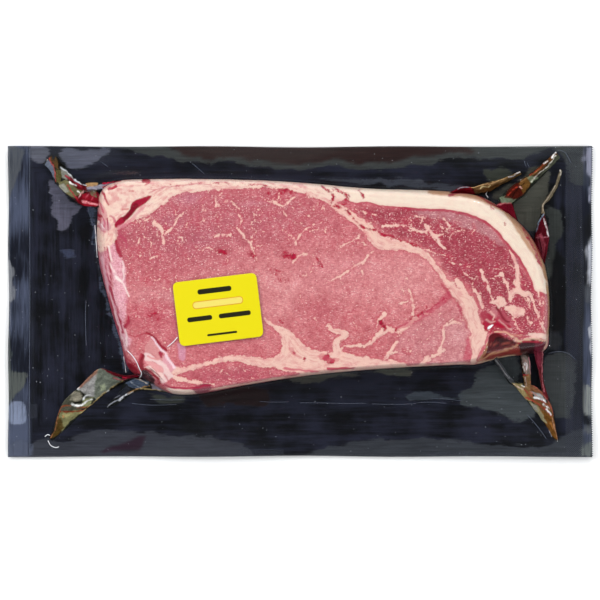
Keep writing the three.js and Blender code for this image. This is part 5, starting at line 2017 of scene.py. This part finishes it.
def pleat_surface(root, crest, seed):
    """The points of one closed pleat, as a grid of rings that go up one side and down the other."""
    along = np.linspace(0, 1, PLEAT_RINGS + 1)
    root = curve(root, along * (len(root) - 1), closed=False)
    crest = curve(crest, along * (len(crest) - 1), closed=False)
    root = np.column_stack([root, np.full(len(root), PLEAT_FLOOR)])
    crest = crest + (0, 0, PLEAT_FLOOR)
    width = np.linalg.norm(crest - root, axis=1)
    normal = unit(np.cross(np.gradient(root, axis=0), crest - root))
    up = np.linspace(0, 1, PLEAT_STEPS + 1)
    middle = root[:, None] + up[None, :, None] * (crest - root)[:, None]
    run = np.linalg.norm(np.diff(crest, axis=0, prepend=crest[:1]), axis=1).cumsum()[:, None]
    rise = up[None, :] * width[:, None]
    shifts = np.random.default_rng(seed).uniform(0, 2, len(CRUMPLE_WAVES))
    crumple = sum(
        strength * folded((steps_along * run + steps_up * rise) / length + shift)
        for (strength, steps_along, steps_up, length), shift in zip(CRUMPLE_WAVES, shifts)
    )
    still = np.minimum(1, 4 * (1 - up)) * np.minimum(1, 3 * up)
    still = CRUMPLE_AT_EDGES + (1 - CRUMPLE_AT_EDGES) * still
    size = CRUMPLE * np.minimum(1, width[:, None] / CRUMPLE_WIDTH) * still[None, :]
    middle += (size * crumple)[..., None] * normal[:, None]
    half = 0.5 * np.interp(up, (0, 1), PLEAT_THICKNESS)[None, :, None] * normal[:, None]
    rings = np.concatenate([middle - half, (middle + half)[:, ::-1]], axis=1)
    rings[..., 2] = np.maximum(rings[..., 2], PLEAT_FLOOR)
    return rings


pleat_points = []
pleat_faces = []
count = 0
for seed, (root, crest) in enumerate(PLEATS):
    rings = pleat_surface(root, crest, seed)
    steps = rings.shape[1]
    grid = count + np.arange(rings.shape[0] * steps).reshape(rings.shape[:2])
    wrapped = np.column_stack([grid, grid[:, :1]])
    ends = [np.column_stack([end, end[::-1]])[: steps // 2] for end in (grid[0], grid[-1])]
    pleat_faces += [quads(wrapped), quads(ends[0]), quads(ends[1])[:, ::-1]]
    pleat_points.append(rings.reshape(-1, 3))
    count += grid.size
pleat_points = np.vstack(pleat_points)
pleats = new_piece("film_pleats", pleat_points, pleat_faces)
print("film pleats:", len(pleats.data.polygons), "faces")

# %% [markdown]
# Juice gives each fold its colour: dark red next to the meat, amber where it is thin, and olive or
# a bluish grey where there is only film over black; the greys are partly the film's reflection,
# painted into the colour. Each facet is painted as a shape with straight sides, because a fold has
# straight edges. Creases are thin lines, most of them pale: painted glints where the sharp folds
# would catch the light, besides the whitish look of a plastic film that is folded sharply.

# %% Facets and creases of the pleats, drawn
# Facets: hex code, corners. Their pale and bluish greys are partly painted reflection of the film.
PLEAT_FACETS = [
    ("15140f", [(-123, 75), (-121, 75), (-119, 69), (-117, 67), (-120, 67), (-122, 71)]),
    ("4e3a22", [
        (-125, 74), (-123, 75), (-121.5, 71), (-120.5, 66), (-122.5, 67), (-124, 70), (-125.5, 72),
    ]),
    ("5c6270", [(-128, 68), (-126, 71), (-124, 69), (-122.5, 65), (-122.5, 61), (-125, 65)]),
    ("544f30", [(-122, 66), (-119.5, 66), (-119, 62), (-120, 59), (-121.5, 60)]),
    ("7e7e74", [(-119.5, 67), (-116.5, 65), (-113, 61), (-116.5, 61), (-119, 62)]),
    ("6c6749", [(-120.5, 59), (-117, 61), (-111, 56), (-107.5, 55), (-111, 51), (-117, 54)]),
    ("8c8c80", [(-120.5, 58), (-118, 59), (-115.5, 55), (-117.5, 54)]),
    ("5a1018", [
        (-117.5, 63), (-114, 62), (-110, 59), (-105.5, 58), (-103.5, 56), (-107, 55), (-111, 56),
        (-114.5, 59),
    ]),
    ("8a1626", [
        (-111.5, 51), (-108, 54), (-104, 56), (-98, 53), (-98, 48), (-105, 47), (-108.5, 48),
    ]),
    ("5e0a14", [(-112.5, 52), (-109, 54), (-108, 48), (-110.5, 49)]),
    ("a89a78", [(-105.5, 55), (-102, 56), (-101.5, 52), (-104, 53)]),
    ("8d8a98", [
        (-106.5, 57), (-101.5, 58), (-96.5, 59), (-91, 59), (-94, 57), (-101, 56), (-106, 55),
    ]),
    ("1a1820", [(-101.5, 56), (-97.5, 56), (-99.5, 53)]),
    ("b08a60", [(-107, 59), (-101, 60), (-101, 58), (-106.5, 57)]),
    ("70766a", [
        (-101.5, -34), (-99.5, -33), (-94, -36), (-88.5, -39), (-92.5, -42), (-98, -46),
        (-102, -49), (-103.5, -47),
    ]),
    ("939a80", [(-100, -42), (-97.5, -41), (-97, -44), (-99.5, -45)]),
    ("9c9a98", [(-101.5, -35), (-102.5, -41), (-103, -48), (-106, -48), (-110, -44), (-106, -39)]),
    ("8c6a5c", [(-101, -34), (-101.5, -36), (-107, -41), (-110.5, -44), (-111.5, -43)]),
    ("4c4c40", [
        (-110.5, -44), (-106, -47), (-103, -48), (-106, -52), (-111, -55), (-120, -55), (-118, -49),
        (-114, -45),
    ]),
    ("8c8676", [(-113.5, -45), (-110.5, -45), (-108, -48), (-111, -50), (-115, -49)]),
    ("14140f", [(-110, -44), (-108, -46), (-107, -48), (-108.5, -48)]),
    ("12120e", [(-113.5, -50), (-109.5, -50), (-108, -49), (-108.5, -51), (-112.5, -51)]),
    ("8a8c66", [(-108, -49), (-103, -48), (-105.5, -52), (-109, -53)]),
    ("7d7a55", [(-120, -55), (-107, -54), (-111, -57), (-115, -60), (-119, -65), (-121, -61)]),
    ("969064", [(-119, -56), (-113, -55), (-116, -58), (-118.5, -58)]),
    ("4e3c1c", [
        (-121.5, -58), (-119.5, -58), (-118, -63), (-121.5, -67), (-125, -69), (-122.5, -64),
    ]),
    ("5e1420", [
        (-100, -33), (-91, -36), (-87, -37), (-79.5, -36), (-79, -39), (-87, -38), (-93, -37),
    ]),
    ("4a5568", [
        (-88, -40), (-84.5, -38), (-79.5, -39), (-75, -40), (-76, -42), (-81.5, -44), (-86, -42),
    ]),
    ("2a2c34", [(-92, -47), (-87, -42), (-84, -44), (-89.5, -49)]),
    ("8e8490", [(-74.5, -41), (-66, -42), (-65.5, -45), (-73.5, -44)]),
    ("8a1626", [(73.5, 52), (74.5, 54), (81, 58), (85.5, 57), (88, 54), (81, 53)]),
    ("8a6b45", [
        (85.5, 58), (93, 59), (105.5, 63), (111, 66), (111, 63), (104, 60), (94, 55), (88, 54),
    ]),
    ("6a4a28", [(87, 55), (92, 56), (99, 59), (100, 58), (94, 55)]),
    ("701022", [(96.5, 47), (101, 50), (106, 49), (109, 40), (102.5, 44)]),
    ("7c8870", [(99.5, 52), (102.5, 53), (108, 51), (105.5, 49), (101, 49)]),
    ("521c14", [(102, 52), (105, 57), (110, 60), (114, 59), (112, 54), (108, 51)]),
    ("755229", [(109.5, 59), (113, 62), (115.5, 62), (114.5, 57), (111.5, 54)]),
    ("7e896e", [(113.5, 62), (115.5, 63), (119, 62), (115.5, 59)]),
    ("5a3a20", [(115, 63), (122.5, 70), (128, 75), (129, 73), (123, 68), (118, 62)]),
    ("4c4e40", [(118, 61), (123.5, 67), (129, 74), (130.5, 72), (124, 66)]),
    ("5a1420", [
        (121.5, 44), (124, 38), (124.5, 31), (123.5, 24), (122, 18), (120, 20), (117, 28),
        (118, 36),
    ]),
    ("a04858", [(118.5, 33), (120.5, 34), (122.5, 28), (121.5, 20), (120, 23)]),
    ("7c705c", [
        (120.5, 44), (120.5, 48), (124, 53), (127.5, 58), (130, 66), (131, 65), (128.5, 57),
        (125, 51), (122.5, 48), (122.5, 44),
    ]),
    ("4a4c50", [(95.5, -28), (99, -28), (105, -37), (108.5, -42), (105.5, -41), (100.5, -35)]),
    ("9a8a60", [(106, -41), (111, -41), (112.5, -45), (116, -50), (113, -49), (109, -45)]),
    ("8a643e", [(111, -42), (115, -43), (117, -49), (114, -49)]),
    ("7a5238", [(114, -40), (118.5, -43), (122.5, -47), (119, -47), (115, -45)]),
    ("9c9e9e", [(115.5, -45), (120, -46), (122.5, -49), (119, -49)]),
    ("6c4d30", [(115, -48), (125.5, -51), (126.5, -58), (124, -59), (119, -54)]),
    ("6a451e", [
        (119, -54), (124, -56), (127, -59), (128, -65), (129.5, -70), (125.5, -67), (122, -60),
    ]),
    ("8c8668", [(114.5, -50), (118.5, -52), (121, -56), (123.5, -61), (120.5, -59), (116.5, -54)]),
    ("8e8a82", [(115.5, -51), (118, -52), (119, -55), (117, -54)]),
    ("2c1a18", [(108, -22), (114, -22), (114.6, -28), (113.4, -29.5), (109.5, -26)]),
    ("80746c", [(110, -26), (113, -27), (115, -30), (115, -36), (112, -37), (110.5, -31)]),
    ("a88c86", [(111.2, -27.5), (113.2, -29), (114.2, -33), (113, -36), (111.6, -33)]),
    ("8a6a48", [(111.5, -37), (115, -36), (115, -44), (112.5, -44)]),
    ("601c2a", [(114.5, -19), (123.5, -19), (121.5, -26), (121, -34), (118.5, -34), (116.5, -27)]),
    ("883444", [(118.5, -21), (120.5, -25), (120.5, -33), (119, -32), (118, -26)]),
    ("6a242a", [(119, -34), (121, -34), (122, -41), (124.5, -49), (121.5, -47)]),
]
# Creases: hex code, half width, path. The near-white and pale bluish ones are painted glints.
PLEAT_CREASES = [
    ("c8ccd0", 0.35, [(-119.5, 67), (-116.5, 65), (-113, 61), (-110, 59.5)]),
    ("8c4038", 0.45, [(-125.5, 72), (-123.5, 68), (-122.5, 65), (-122, 60)]),
    ("c8b48a", 0.4, [(-126.5, 71), (-125, 74)]),
    ("a03040", 0.4, [(-117, 63), (-113, 60), (-109, 57)]),
    ("f6f2f0", 0.5, [(-115, 59.5), (-113.5, 58.5), (-112, 58)]),
    ("d8dce6", 0.35, [(-112.5, 61), (-110, 59), (-107, 58)]),
    ("8c1424", 0.45, [(-120, 56), (-116.5, 53), (-112, 50)]),
    ("9c2434", 0.4, [(-116, 58), (-113.5, 54), (-111, 51)]),
    ("f4f2ee", 0.5, [(-111, 55), (-110, 54.5)]),
    ("d8a0a0", 0.35, [(-110.5, 52), (-108, 55), (-106.5, 55)]),
    ("dc8c92", 0.9, [(-108.5, 50), (-104.5, 49), (-99.5, 48)]),
    ("6e0a18", 0.5, [(-108, 51), (-104, 50), (-99.5, 50)]),
    ("b04a58", 0.5, [(-107, 52), (-104.5, 55)]),
    ("c84a5c", 0.4, [(-104, 51), (-102, 54), (-100.5, 52)]),
    ("fafafa", 0.5, [(-103, 55), (-102.5, 55)]),
    ("a01c34", 0.6, [(-98.5, 59), (-94.5, 59.5), (-89.5, 60)]),
    ("b01830", 0.55, [(-97, 56), (-94.5, 56.5), (-91.5, 58)]),
    ("8c3030", 0.4, [(-98.5, 57), (-95.5, 58)]),
    ("946a58", 0.45, [(-111, -43), (-106, -38.5), (-101, -34)]),
    ("fafafa", 0.55, [(-111, -43.5), (-110, -44)]),
    ("c05060", 0.4, [(-93, -38), (-90, -39), (-86.5, -39)]),
    ("b81e3a", 0.35, [(-88.5, -38), (-84, -38), (-79.5, -37)]),
    ("f6f6f4", 0.6, [(-114, -51), (-111.5, -52), (-109, -52), (-106.5, -50), (-104, -49)]),
    ("eef0f0", 0.4, [(-108, -49), (-107, -47), (-104.5, -47)]),
    ("ead8d4", 0.45, [(-117, -48), (-115, -46), (-114, -45)]),
    ("8c4a30", 0.4, [(-119.5, -53), (-117, -52), (-114.5, -52)]),
    ("94583c", 0.4, [(-111, -53), (-108, -53), (-105, -52)]),
    ("7a2418", 0.45, [(-120, -55), (-116, -55), (-111.5, -55), (-107.5, -54)]),
    ("a8744a", 0.4, [(-118.5, -57), (-118, -58)]),
    ("8c5c40", 0.4, [(-120, -53), (-121, -57), (-122, -63), (-124.5, -68)]),
    ("b09a6c", 0.3, [(-88.5, -39.5), (-94, -43), (-99.5, -47), (-104.5, -51.5), (-110, -56)]),
    ("14110a", 0.35, [(-89.5, -40), (-94.5, -44), (-99.5, -48), (-104, -52)]),
    ("d8dcd8", 0.3, [(-95.5, -44), (-97, -45.5)]),
    ("e8eaf0", 0.6, [(-90.5, -49.5), (-87.5, -47), (-83.5, -45)]),
    ("b0895a", 0.4, [(-86, -46), (-82, -44), (-75.5, -42)]),
    ("c8bcae", 0.3, [(-76, -41), (-80.5, -39), (-84.5, -38.5), (-88, -40)]),
    ("9aa2b0", 0.3, [(-84.5, -40), (-82, -42), (-79.5, -43)]),
    ("a89468", 0.4, [(-80, -43.5), (-74, -44), (-66, -45)]),
    ("8a8c96", 0.4, [(-96.5, -52.5), (-93.5, -50.5), (-90.5, -49)]),
    ("6e707a", 0.35, [(-95, -49), (-92.5, -48), (-90, -47)]),
    ("9aa4b0", 0.4, [(79, 56), (81, 57), (84.5, 57)]),
    ("e8d8a0", 0.4, [(90, 56.5), (91, 57.5), (94, 57), (95, 58)]),
    ("c9a678", 0.35, [(85.5, 57), (90, 58), (96, 59), (102.5, 61.5)]),
    ("f0f0f4", 0.4, [(104.5, 62), (107, 63), (110, 65)]),
    ("c86a70", 0.4, [(98, 48), (102, 49), (105.5, 49)]),
    ("2e1410", 0.4, [(106, 52), (108.5, 56), (112, 59)]),
    ("b03a2a", 0.35, [(104, 53), (106.5, 56), (108.5, 57)]),
    ("e8b0a0", 0.45, [(110, 57), (111, 56.5)]),
    ("f0e8e0", 0.45, [(109.5, 61), (110, 61)]),
    ("a0744a", 0.4, [(110, 60), (115, 62.5), (120.5, 67)]),
    ("9a3a2a", 0.35, [(115, 63), (119, 66), (123.5, 70)]),
    ("d8d4c8", 0.35, [(115.5, 60), (120, 64.5), (124, 68), (128, 73)]),
    ("f4f2f0", 0.45, [(122, 69), (123.5, 70)]),
    ("f8f6f4", 0.55, [(126, 72), (127.5, 74), (128, 74.5)]),
    ("8a9ab0", 0.4, [(121.5, 43.5), (119.5, 40), (118, 35)]),
    ("f4f2f4", 0.5, [(122, 41), (123, 37), (124, 32.5)]),
    ("c07080", 0.35, [(118.5, 32), (121, 32), (123.5, 32)]),
    ("200810", 0.4, [(119.5, 31), (120.5, 26), (120.5, 22)]),
    ("c0b09c", 0.3, [(121.5, 45), (121.5, 48), (124.5, 52.5), (127.5, 58)]),
    ("f0e8dc", 0.4, [(130, 66), (130.5, 64.5), (130, 63)]),
    ("9c9ca0", 0.3, [(97.5, -29), (100.5, -33), (104.5, -38.5)]),
    ("f0f0ec", 0.5, [(111, -42), (112, -42.5)]),
    ("e8c8b0", 0.35, [(107, -41.5), (109.5, -43), (112, -44)]),
    ("98443a", 0.4, [(112, -44), (115.5, -47), (119, -49), (123, -51), (126, -54)]),
    ("a83c34", 0.4, [(113, -48), (117, -50), (121.5, -53), (125.5, -57)]),
    ("9c5048", 0.35, [(115, -40), (119, -44), (122.5, -48), (125.5, -53), (126.5, -57)]),
    ("ac6658", 0.35, [(115, -45), (118.5, -47), (122, -49)]),
    ("fafafa", 0.55, [(117, -48), (120, -48.5), (122.5, -50)]),
    ("f2f0f0", 0.45, [(121.5, -51.5), (124.5, -53)]),
    ("f2f0f0", 0.45, [(123, -54), (125.5, -56.5)]),
    ("a07458", 0.35, [(126, -58), (127, -63), (129, -69)]),
    ("9c6634", 0.45, [(125, -60), (126.5, -64)]),
    ("a8b0bc", 0.4, [(122.5, -63), (125, -66), (126.5, -70)]),
    ("c8ccd0", 0.35, [(125.5, -70.5), (127.5, -71), (129, -69.5)]),
    ("faf6f6", 0.8, [(112.5, -31), (113, -32), (113, -34)]),
    ("5a3a28", 0.4, [(110, -30), (111, -33), (111.5, -36)]),
    ("8c1c2c", 0.4, [(108.6, -21.5), (109.6, -24), (110.6, -26.4)]),
    ("1c100e", 0.4, [(110, -27.5), (110.8, -32), (112, -36)]),
    ("b87880", 0.35, [(114.2, -28), (115, -32), (115, -36)]),
    ("e4dcd4", 0.35, [(111.4, -32.5), (112.2, -34.8)]),
    ("a02030", 0.45, [(111.5, -36.5), (114, -37)]),
    ("c8b0a8", 0.35, [(112.5, -38), (113, -42)]),
    ("e0d8d8", 0.35, [(116, -29), (116.5, -32), (117, -35)]),
    ("c07078", 0.35, [(121.5, -24), (121, -31), (121, -39), (122, -45)]),
]
print("facets:", len(PLEAT_FACETS), "and creases:", len(PLEAT_CREASES))

# %% [markdown]
# Besides its colour each place has a body: how far the juice and the folds hide what is under them.
# The material is clear film where the body is low and plain matt colour where it is high. Real
# layers of film and juice would need many bounces of light to look the same.

# %% Colours of the pleats
BARE_BODY = 0.35  # how far the film hides what is under it where there is no facet
FACET_BODY = 0.93
FACET_EDGE = (-0.35, 0.25)
FOLD_EDGE = (-0.25, 0.15)
FOLD_WIDTHS = np.array([0.75, 0.45])  # shares of a crease's half width at its two ends

pleat_colour = np.tile(colour("2c2f2b"), (len(pleat_points), 1))
pleat_body = np.full(len(pleat_points), BARE_BODY)
crumpled_at = wavering(pleat_points, 0.3, 1.5, (51, 52))
for code, outline in PLEAT_FACETS:
    cover = FACET_BODY * patch_cover(crumpled_at, outline, *FACET_EDGE, smooth=False)
    lay(pleat_colour, pleat_body, code, cover)
broken = 0.35 + 0.65 * smooth_step(noise(pleat_points, 1.1, seed=53), -0.5, 0.1)
for code, half_width, path in PLEAT_CREASES:
    cover = broken * stroke_cover(crumpled_at, FOLD_WIDTHS * half_width, path, *FOLD_EDGE)
    lay(pleat_colour, pleat_body, code, cover)
keep_fields(pleats, juice_colour=pleat_colour, body=pleat_body)


def gathered_film():
    """Folded clear film with juice held between its layers, and painted glints and reflection."""
    material, tree = new_material("gathered_film")
    place = put(tree, "ShaderNodeTexCoord").outputs["Object"]
    streaks = grains(tree, place, 1.2)
    shade = sums(tree, "ADD", streaks, grains(tree, place, 0.7, 2.0))
    shade = between(tree, shade, 0.75, 1.25, 0.65, 1.1)
    tinted = vectors(tree, "SCALE", {0: stored(tree, "juice_colour", "Color"), 3: shade})
    normal = bumped(tree, streaks, 0.4, 0.3)
    clear = put(tree, "ShaderNodeBsdfTransparent", {"Color": colour("f2f2ee")})
    solid = put(tree, "ShaderNodeBsdfDiffuse", {"Color": tinted, "Normal": normal})
    inputs = {0: stored(tree, "body"), 1: clear.outputs[0], 2: solid.outputs[0]}
    filled = put(tree, "ShaderNodeMixShader", inputs)
    finish_material(tree, with_shine(tree, filled, normal, 0.08))
    return material


pleats.data.materials.append(gathered_film())
print("the pleats' mean body:", pleat_body.mean().round(2))

# %% [markdown]
# ## The label
#
# A label is cut from a web of coated paper with a rounded die and rolled on with glue, so it
# follows the meat. A plane laid on with a shrinkwrap modifier could do that. Here its points are
# placed by the same formula as the cut face instead, so the gap under it is even.

# %% The label
LABEL_LENGTH = 42
LABEL_WIDTH = 32
LABEL_CORNER = 2.6
LABEL_THICKNESS = 0.25
LABEL_CENTRE = np.array([-40.8, -4.0])
LABEL_TURN = math.radians(7)
LABEL_RAISE = 2 * GAP + FILM_THICKNESS  # above the cut face
LABEL_COLUMNS = 126
LABEL_ROWS = 96
# Dark bars: x, y, length, width.
BARS = [(-0.6, 9.8, 17, 2.6), (-9.6, -3.4, 12.5, 2.4), (8, -3.4, 16, 2.4), (0.6, -12.1, 15, 1.1)]
BAND = (0.3, 3.4, 25, 3.4)  # the pale bar
BAR_CORNER = 0.45  # its radius as a share of the width


def bar_distance(xy, x, y, length, width):
    """Distance from the edge of a bar with rounded ends, less than zero inside."""
    corner = BAR_CORNER * width
    over = np.abs(xy - (x, y)) - (length / 2 - corner, width / 2 - corner)
    return np.linalg.norm(np.maximum(over, 0), axis=1) + np.minimum(over.max(axis=1), 0) - corner


def label_grid():
    """Places on the label before it is turned, as a grid squeezed into the rounded rectangle."""
    x = np.linspace(-LABEL_LENGTH / 2, LABEL_LENGTH / 2, LABEL_COLUMNS + 1)
    into_corner = np.maximum(0, np.abs(x) - LABEL_LENGTH / 2 + LABEL_CORNER)
    short = LABEL_CORNER - np.sqrt(np.maximum(0, LABEL_CORNER**2 - into_corner**2))
    v = np.linspace(-1, 1, LABEL_ROWS + 1)
    y = v[None, :] * (LABEL_WIDTH / 2 - short)[:, None]
    return np.stack([np.broadcast_to(x[:, None], y.shape), y], axis=-1).reshape(-1, 2)


label_xy = label_grid()
cosine, sine = math.cos(LABEL_TURN), math.sin(LABEL_TURN)
on_pack = LABEL_CENTRE + label_xy @ np.array([[cosine, -sine], [sine, cosine]]).T
label_z = face_height(on_pack) + LABEL_RAISE
label = thin_sheet("label_paper", on_pack, label_z, LABEL_THICKNESS, LABEL_COLUMNS, LABEL_ROWS)
dark = np.min([bar_distance(label_xy, *bar) for bar in BARS], axis=0)
band = bar_distance(label_xy, *BAND)
keep_fields(label, dark=np.clip(dark, -FAR, FAR), band=np.clip(band, -FAR, FAR))
print("label:", len(label.data.polygons), "faces")

# %% [markdown]
# The paper is yellow, with a soft gloss. Its print is laid on the mesh in the same way as the fat,
# as distances to plain shapes: bars in place of words, and one pale bar with a thin outline. That
# keeps their edges sharp, where colours on the points would blur them.

# %% Coated paper as a material
PRINT_EDGE = 0.1  # half the width over which the print's edge fades
OUTLINE_WIDTH = 0.28  # of the line round the pale bar


def coated_paper():
    """Yellow coated paper with plain print."""
    material, tree = new_material("coated_paper")
    band_distance = stored(tree, "band")
    on_band = between(tree, band_distance, PRINT_EDGE, -PRINT_EDGE)
    from_line = sums(tree, "ABSOLUTE", band_distance)
    on_line = between(tree, from_line, OUTLINE_WIDTH, PRINT_EDGE)
    on_bar = between(tree, stored(tree, "dark"), PRINT_EDGE, -PRINT_EDGE)
    ground = blend(tree, on_band, colour("d5c700"), colour("dccb62"))
    lined = blend(tree, on_line, ground, colour("c98a20"))
    printed = blend(tree, on_bar, lined, colour("1c1a08"))
    shader = put(tree, "ShaderNodeBsdfPrincipled", {
        "Base Color": printed, "Roughness": 0.35, "IOR": 1.5,
    })
    finish_material(tree, shader)
    return material


label.data.materials.append(coated_paper())
print("made", label.data.materials[0].name)

# %% [markdown]
# ## Camera and lamps
#
# The pack is looked at from straight above, from so far away that its height hardly shows. Large
# soft lamps light it from three sides. They don't show in the gloss, where they would lie as white
# patches. Three narrow strips do, and draw thin lights along the folds.

# %% Camera and lamps
FRAME_WIDTH = 300  # millimetres across the picture
LENS = 600
SENSOR = 36
AIM_Y = 0.75
LAMP_DISTANCE = 1.3  # in metres, as are the lamps' sizes
# Lamps: name, direction from the pack, size, watts, whether they show in what is glossy.
LAMPS = [
    ("soft_box_left", (-1.0, 0.35, 1.0), 1.0, 9.6, False),
    ("soft_box_back", (0.2, 1.0, 0.9), 1.0, 7.6, False),
    ("soft_box_front", (0.7, -1.0, 1.3), 1.0, 5.8, False),
    ("strip_left", (-1.0, 0.25, 0.9), 0.12, 3.2, True),
    ("strip_back", (0.35, 1.0, 0.8), 0.12, 2.4, True),
    ("strip_right", (1.0, -0.3, 1.0), 0.12, 2.0, True),
]


def add_camera():
    """A camera straight above the pack."""
    data = bpy.data.cameras.new("camera")
    data.lens = LENS
    data.sensor_width = SENSOR
    data.clip_end = 20
    camera = bpy.data.objects.new("camera", data)
    camera.location = (0, AIM_Y * MM, FRAME_WIDTH * MM * LENS / SENSOR)
    bpy.context.scene.collection.objects.link(camera)
    bpy.context.scene.camera = camera


def add_lamp(name, direction, size, watts, reflected):
    """A square lamp in a direction from the pack, facing it."""
    data = bpy.data.lights.new(name, "AREA")
    data.size = size
    data.energy = watts
    lamp = bpy.data.objects.new(name, data)
    lamp.location = Vector(direction).normalized() * LAMP_DISTANCE
    lamp.rotation_euler = Vector(direction).to_track_quat("Z", "Y").to_euler()
    lamp.visible_glossy = reflected
    bpy.context.scene.collection.objects.link(lamp)


add_camera()
for lamp in LAMPS:
    add_lamp(*lamp)
print("lamps:", len(LAMPS))

# %% [markdown]
# ## Dome and floor
#
# The sky is a soft dome with a dark spot overhead, as in a studio where the camera hangs in the
# middle of the light: flat film then reflects the dark spot and stays clear, and tilted film lights
# up. A plain sky would lay a grey haze over everything. The floor is plain white.

# %% Dome and floor
# The dome's colours: height, from 0 at the horizon to 1 overhead, and hex code.
DOME = [(0.0, "a0a3a7"), (0.8, "92979b"), (0.955, "8a908e"), (0.985, "404244"), (0.992, "1e1f22")]
FLOOR_HALF = 3000
FLOOR_DROP = 0.2


def add_dome():
    """A grey dome that is dark overhead and brighter further down."""
    world = bpy.data.worlds.new("dome")
    world.use_nodes = True
    tree = world.node_tree
    tree.nodes.clear()
    up = put(tree, "ShaderNodeTexCoord").outputs["Generated"]
    parts = put(tree, "ShaderNodeSeparateXYZ", {"Vector": up}).outputs
    ramp = put(tree, "ShaderNodeValToRGB", {"Fac": parts["Z"]})
    stops = ramp.color_ramp.elements
    for k, (height, code) in enumerate(DOME):
        stop = stops[k] if k < len(stops) else stops.new(height)
        stop.position = height
        stop.color = colour(code)
    background = put(tree, "ShaderNodeBackground", {"Color": ramp.outputs[0], "Strength": 1.0})
    put(tree, "ShaderNodeOutputWorld", {"Surface": background.outputs[0]})
    bpy.context.scene.world = world


def add_floor():
    """A plain white floor."""
    corners = np.array([(-1, -1), (1, -1), (1, 1), (-1, 1)]) * float(FLOOR_HALF)
    points = np.column_stack([corners, np.full(4, -FLOOR_DROP)])
    floor = new_piece("floor", points, [np.array([[0, 1, 2, 3]])])
    material, tree = new_material("white_paper")
    inputs = {"Base Color": colour("f6f6f6"), "Roughness": 0.9}
    finish_material(tree, put(tree, "ShaderNodeBsdfPrincipled", inputs))
    floor.data.materials.append(material)
    return floor


add_dome()
floor = add_floor()
bpy.context.scene.view_settings.view_transform = "Standard"
print("made", bpy.context.scene.world.name, "and", floor.name)

# %% [markdown]
# ## Dress the frame
#
# Each piece rides on the pack's one body, and takes the place of its CAD solid, which it hides.

# %% Dress the frame
DRESSING = [
    (steak, "steak", "meat"),
    (backing, "backing_film", "backing"),
    (film, "clear_film", "film"),
    (pleats, "clear_film", "film"),
    (pips, "clear_film", "film"),
    (creases, "clear_film", "film"),
    (glints, "clear_film", "film"),
    (dust, "clear_film", "film"),
    (teeth, "clear_film", "film"),
    (label, "label", "label"),
]
for piece, node, slot in DRESSING:
    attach(piece, "root")
    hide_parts(node)
    print(piece.name, "replaces", node)
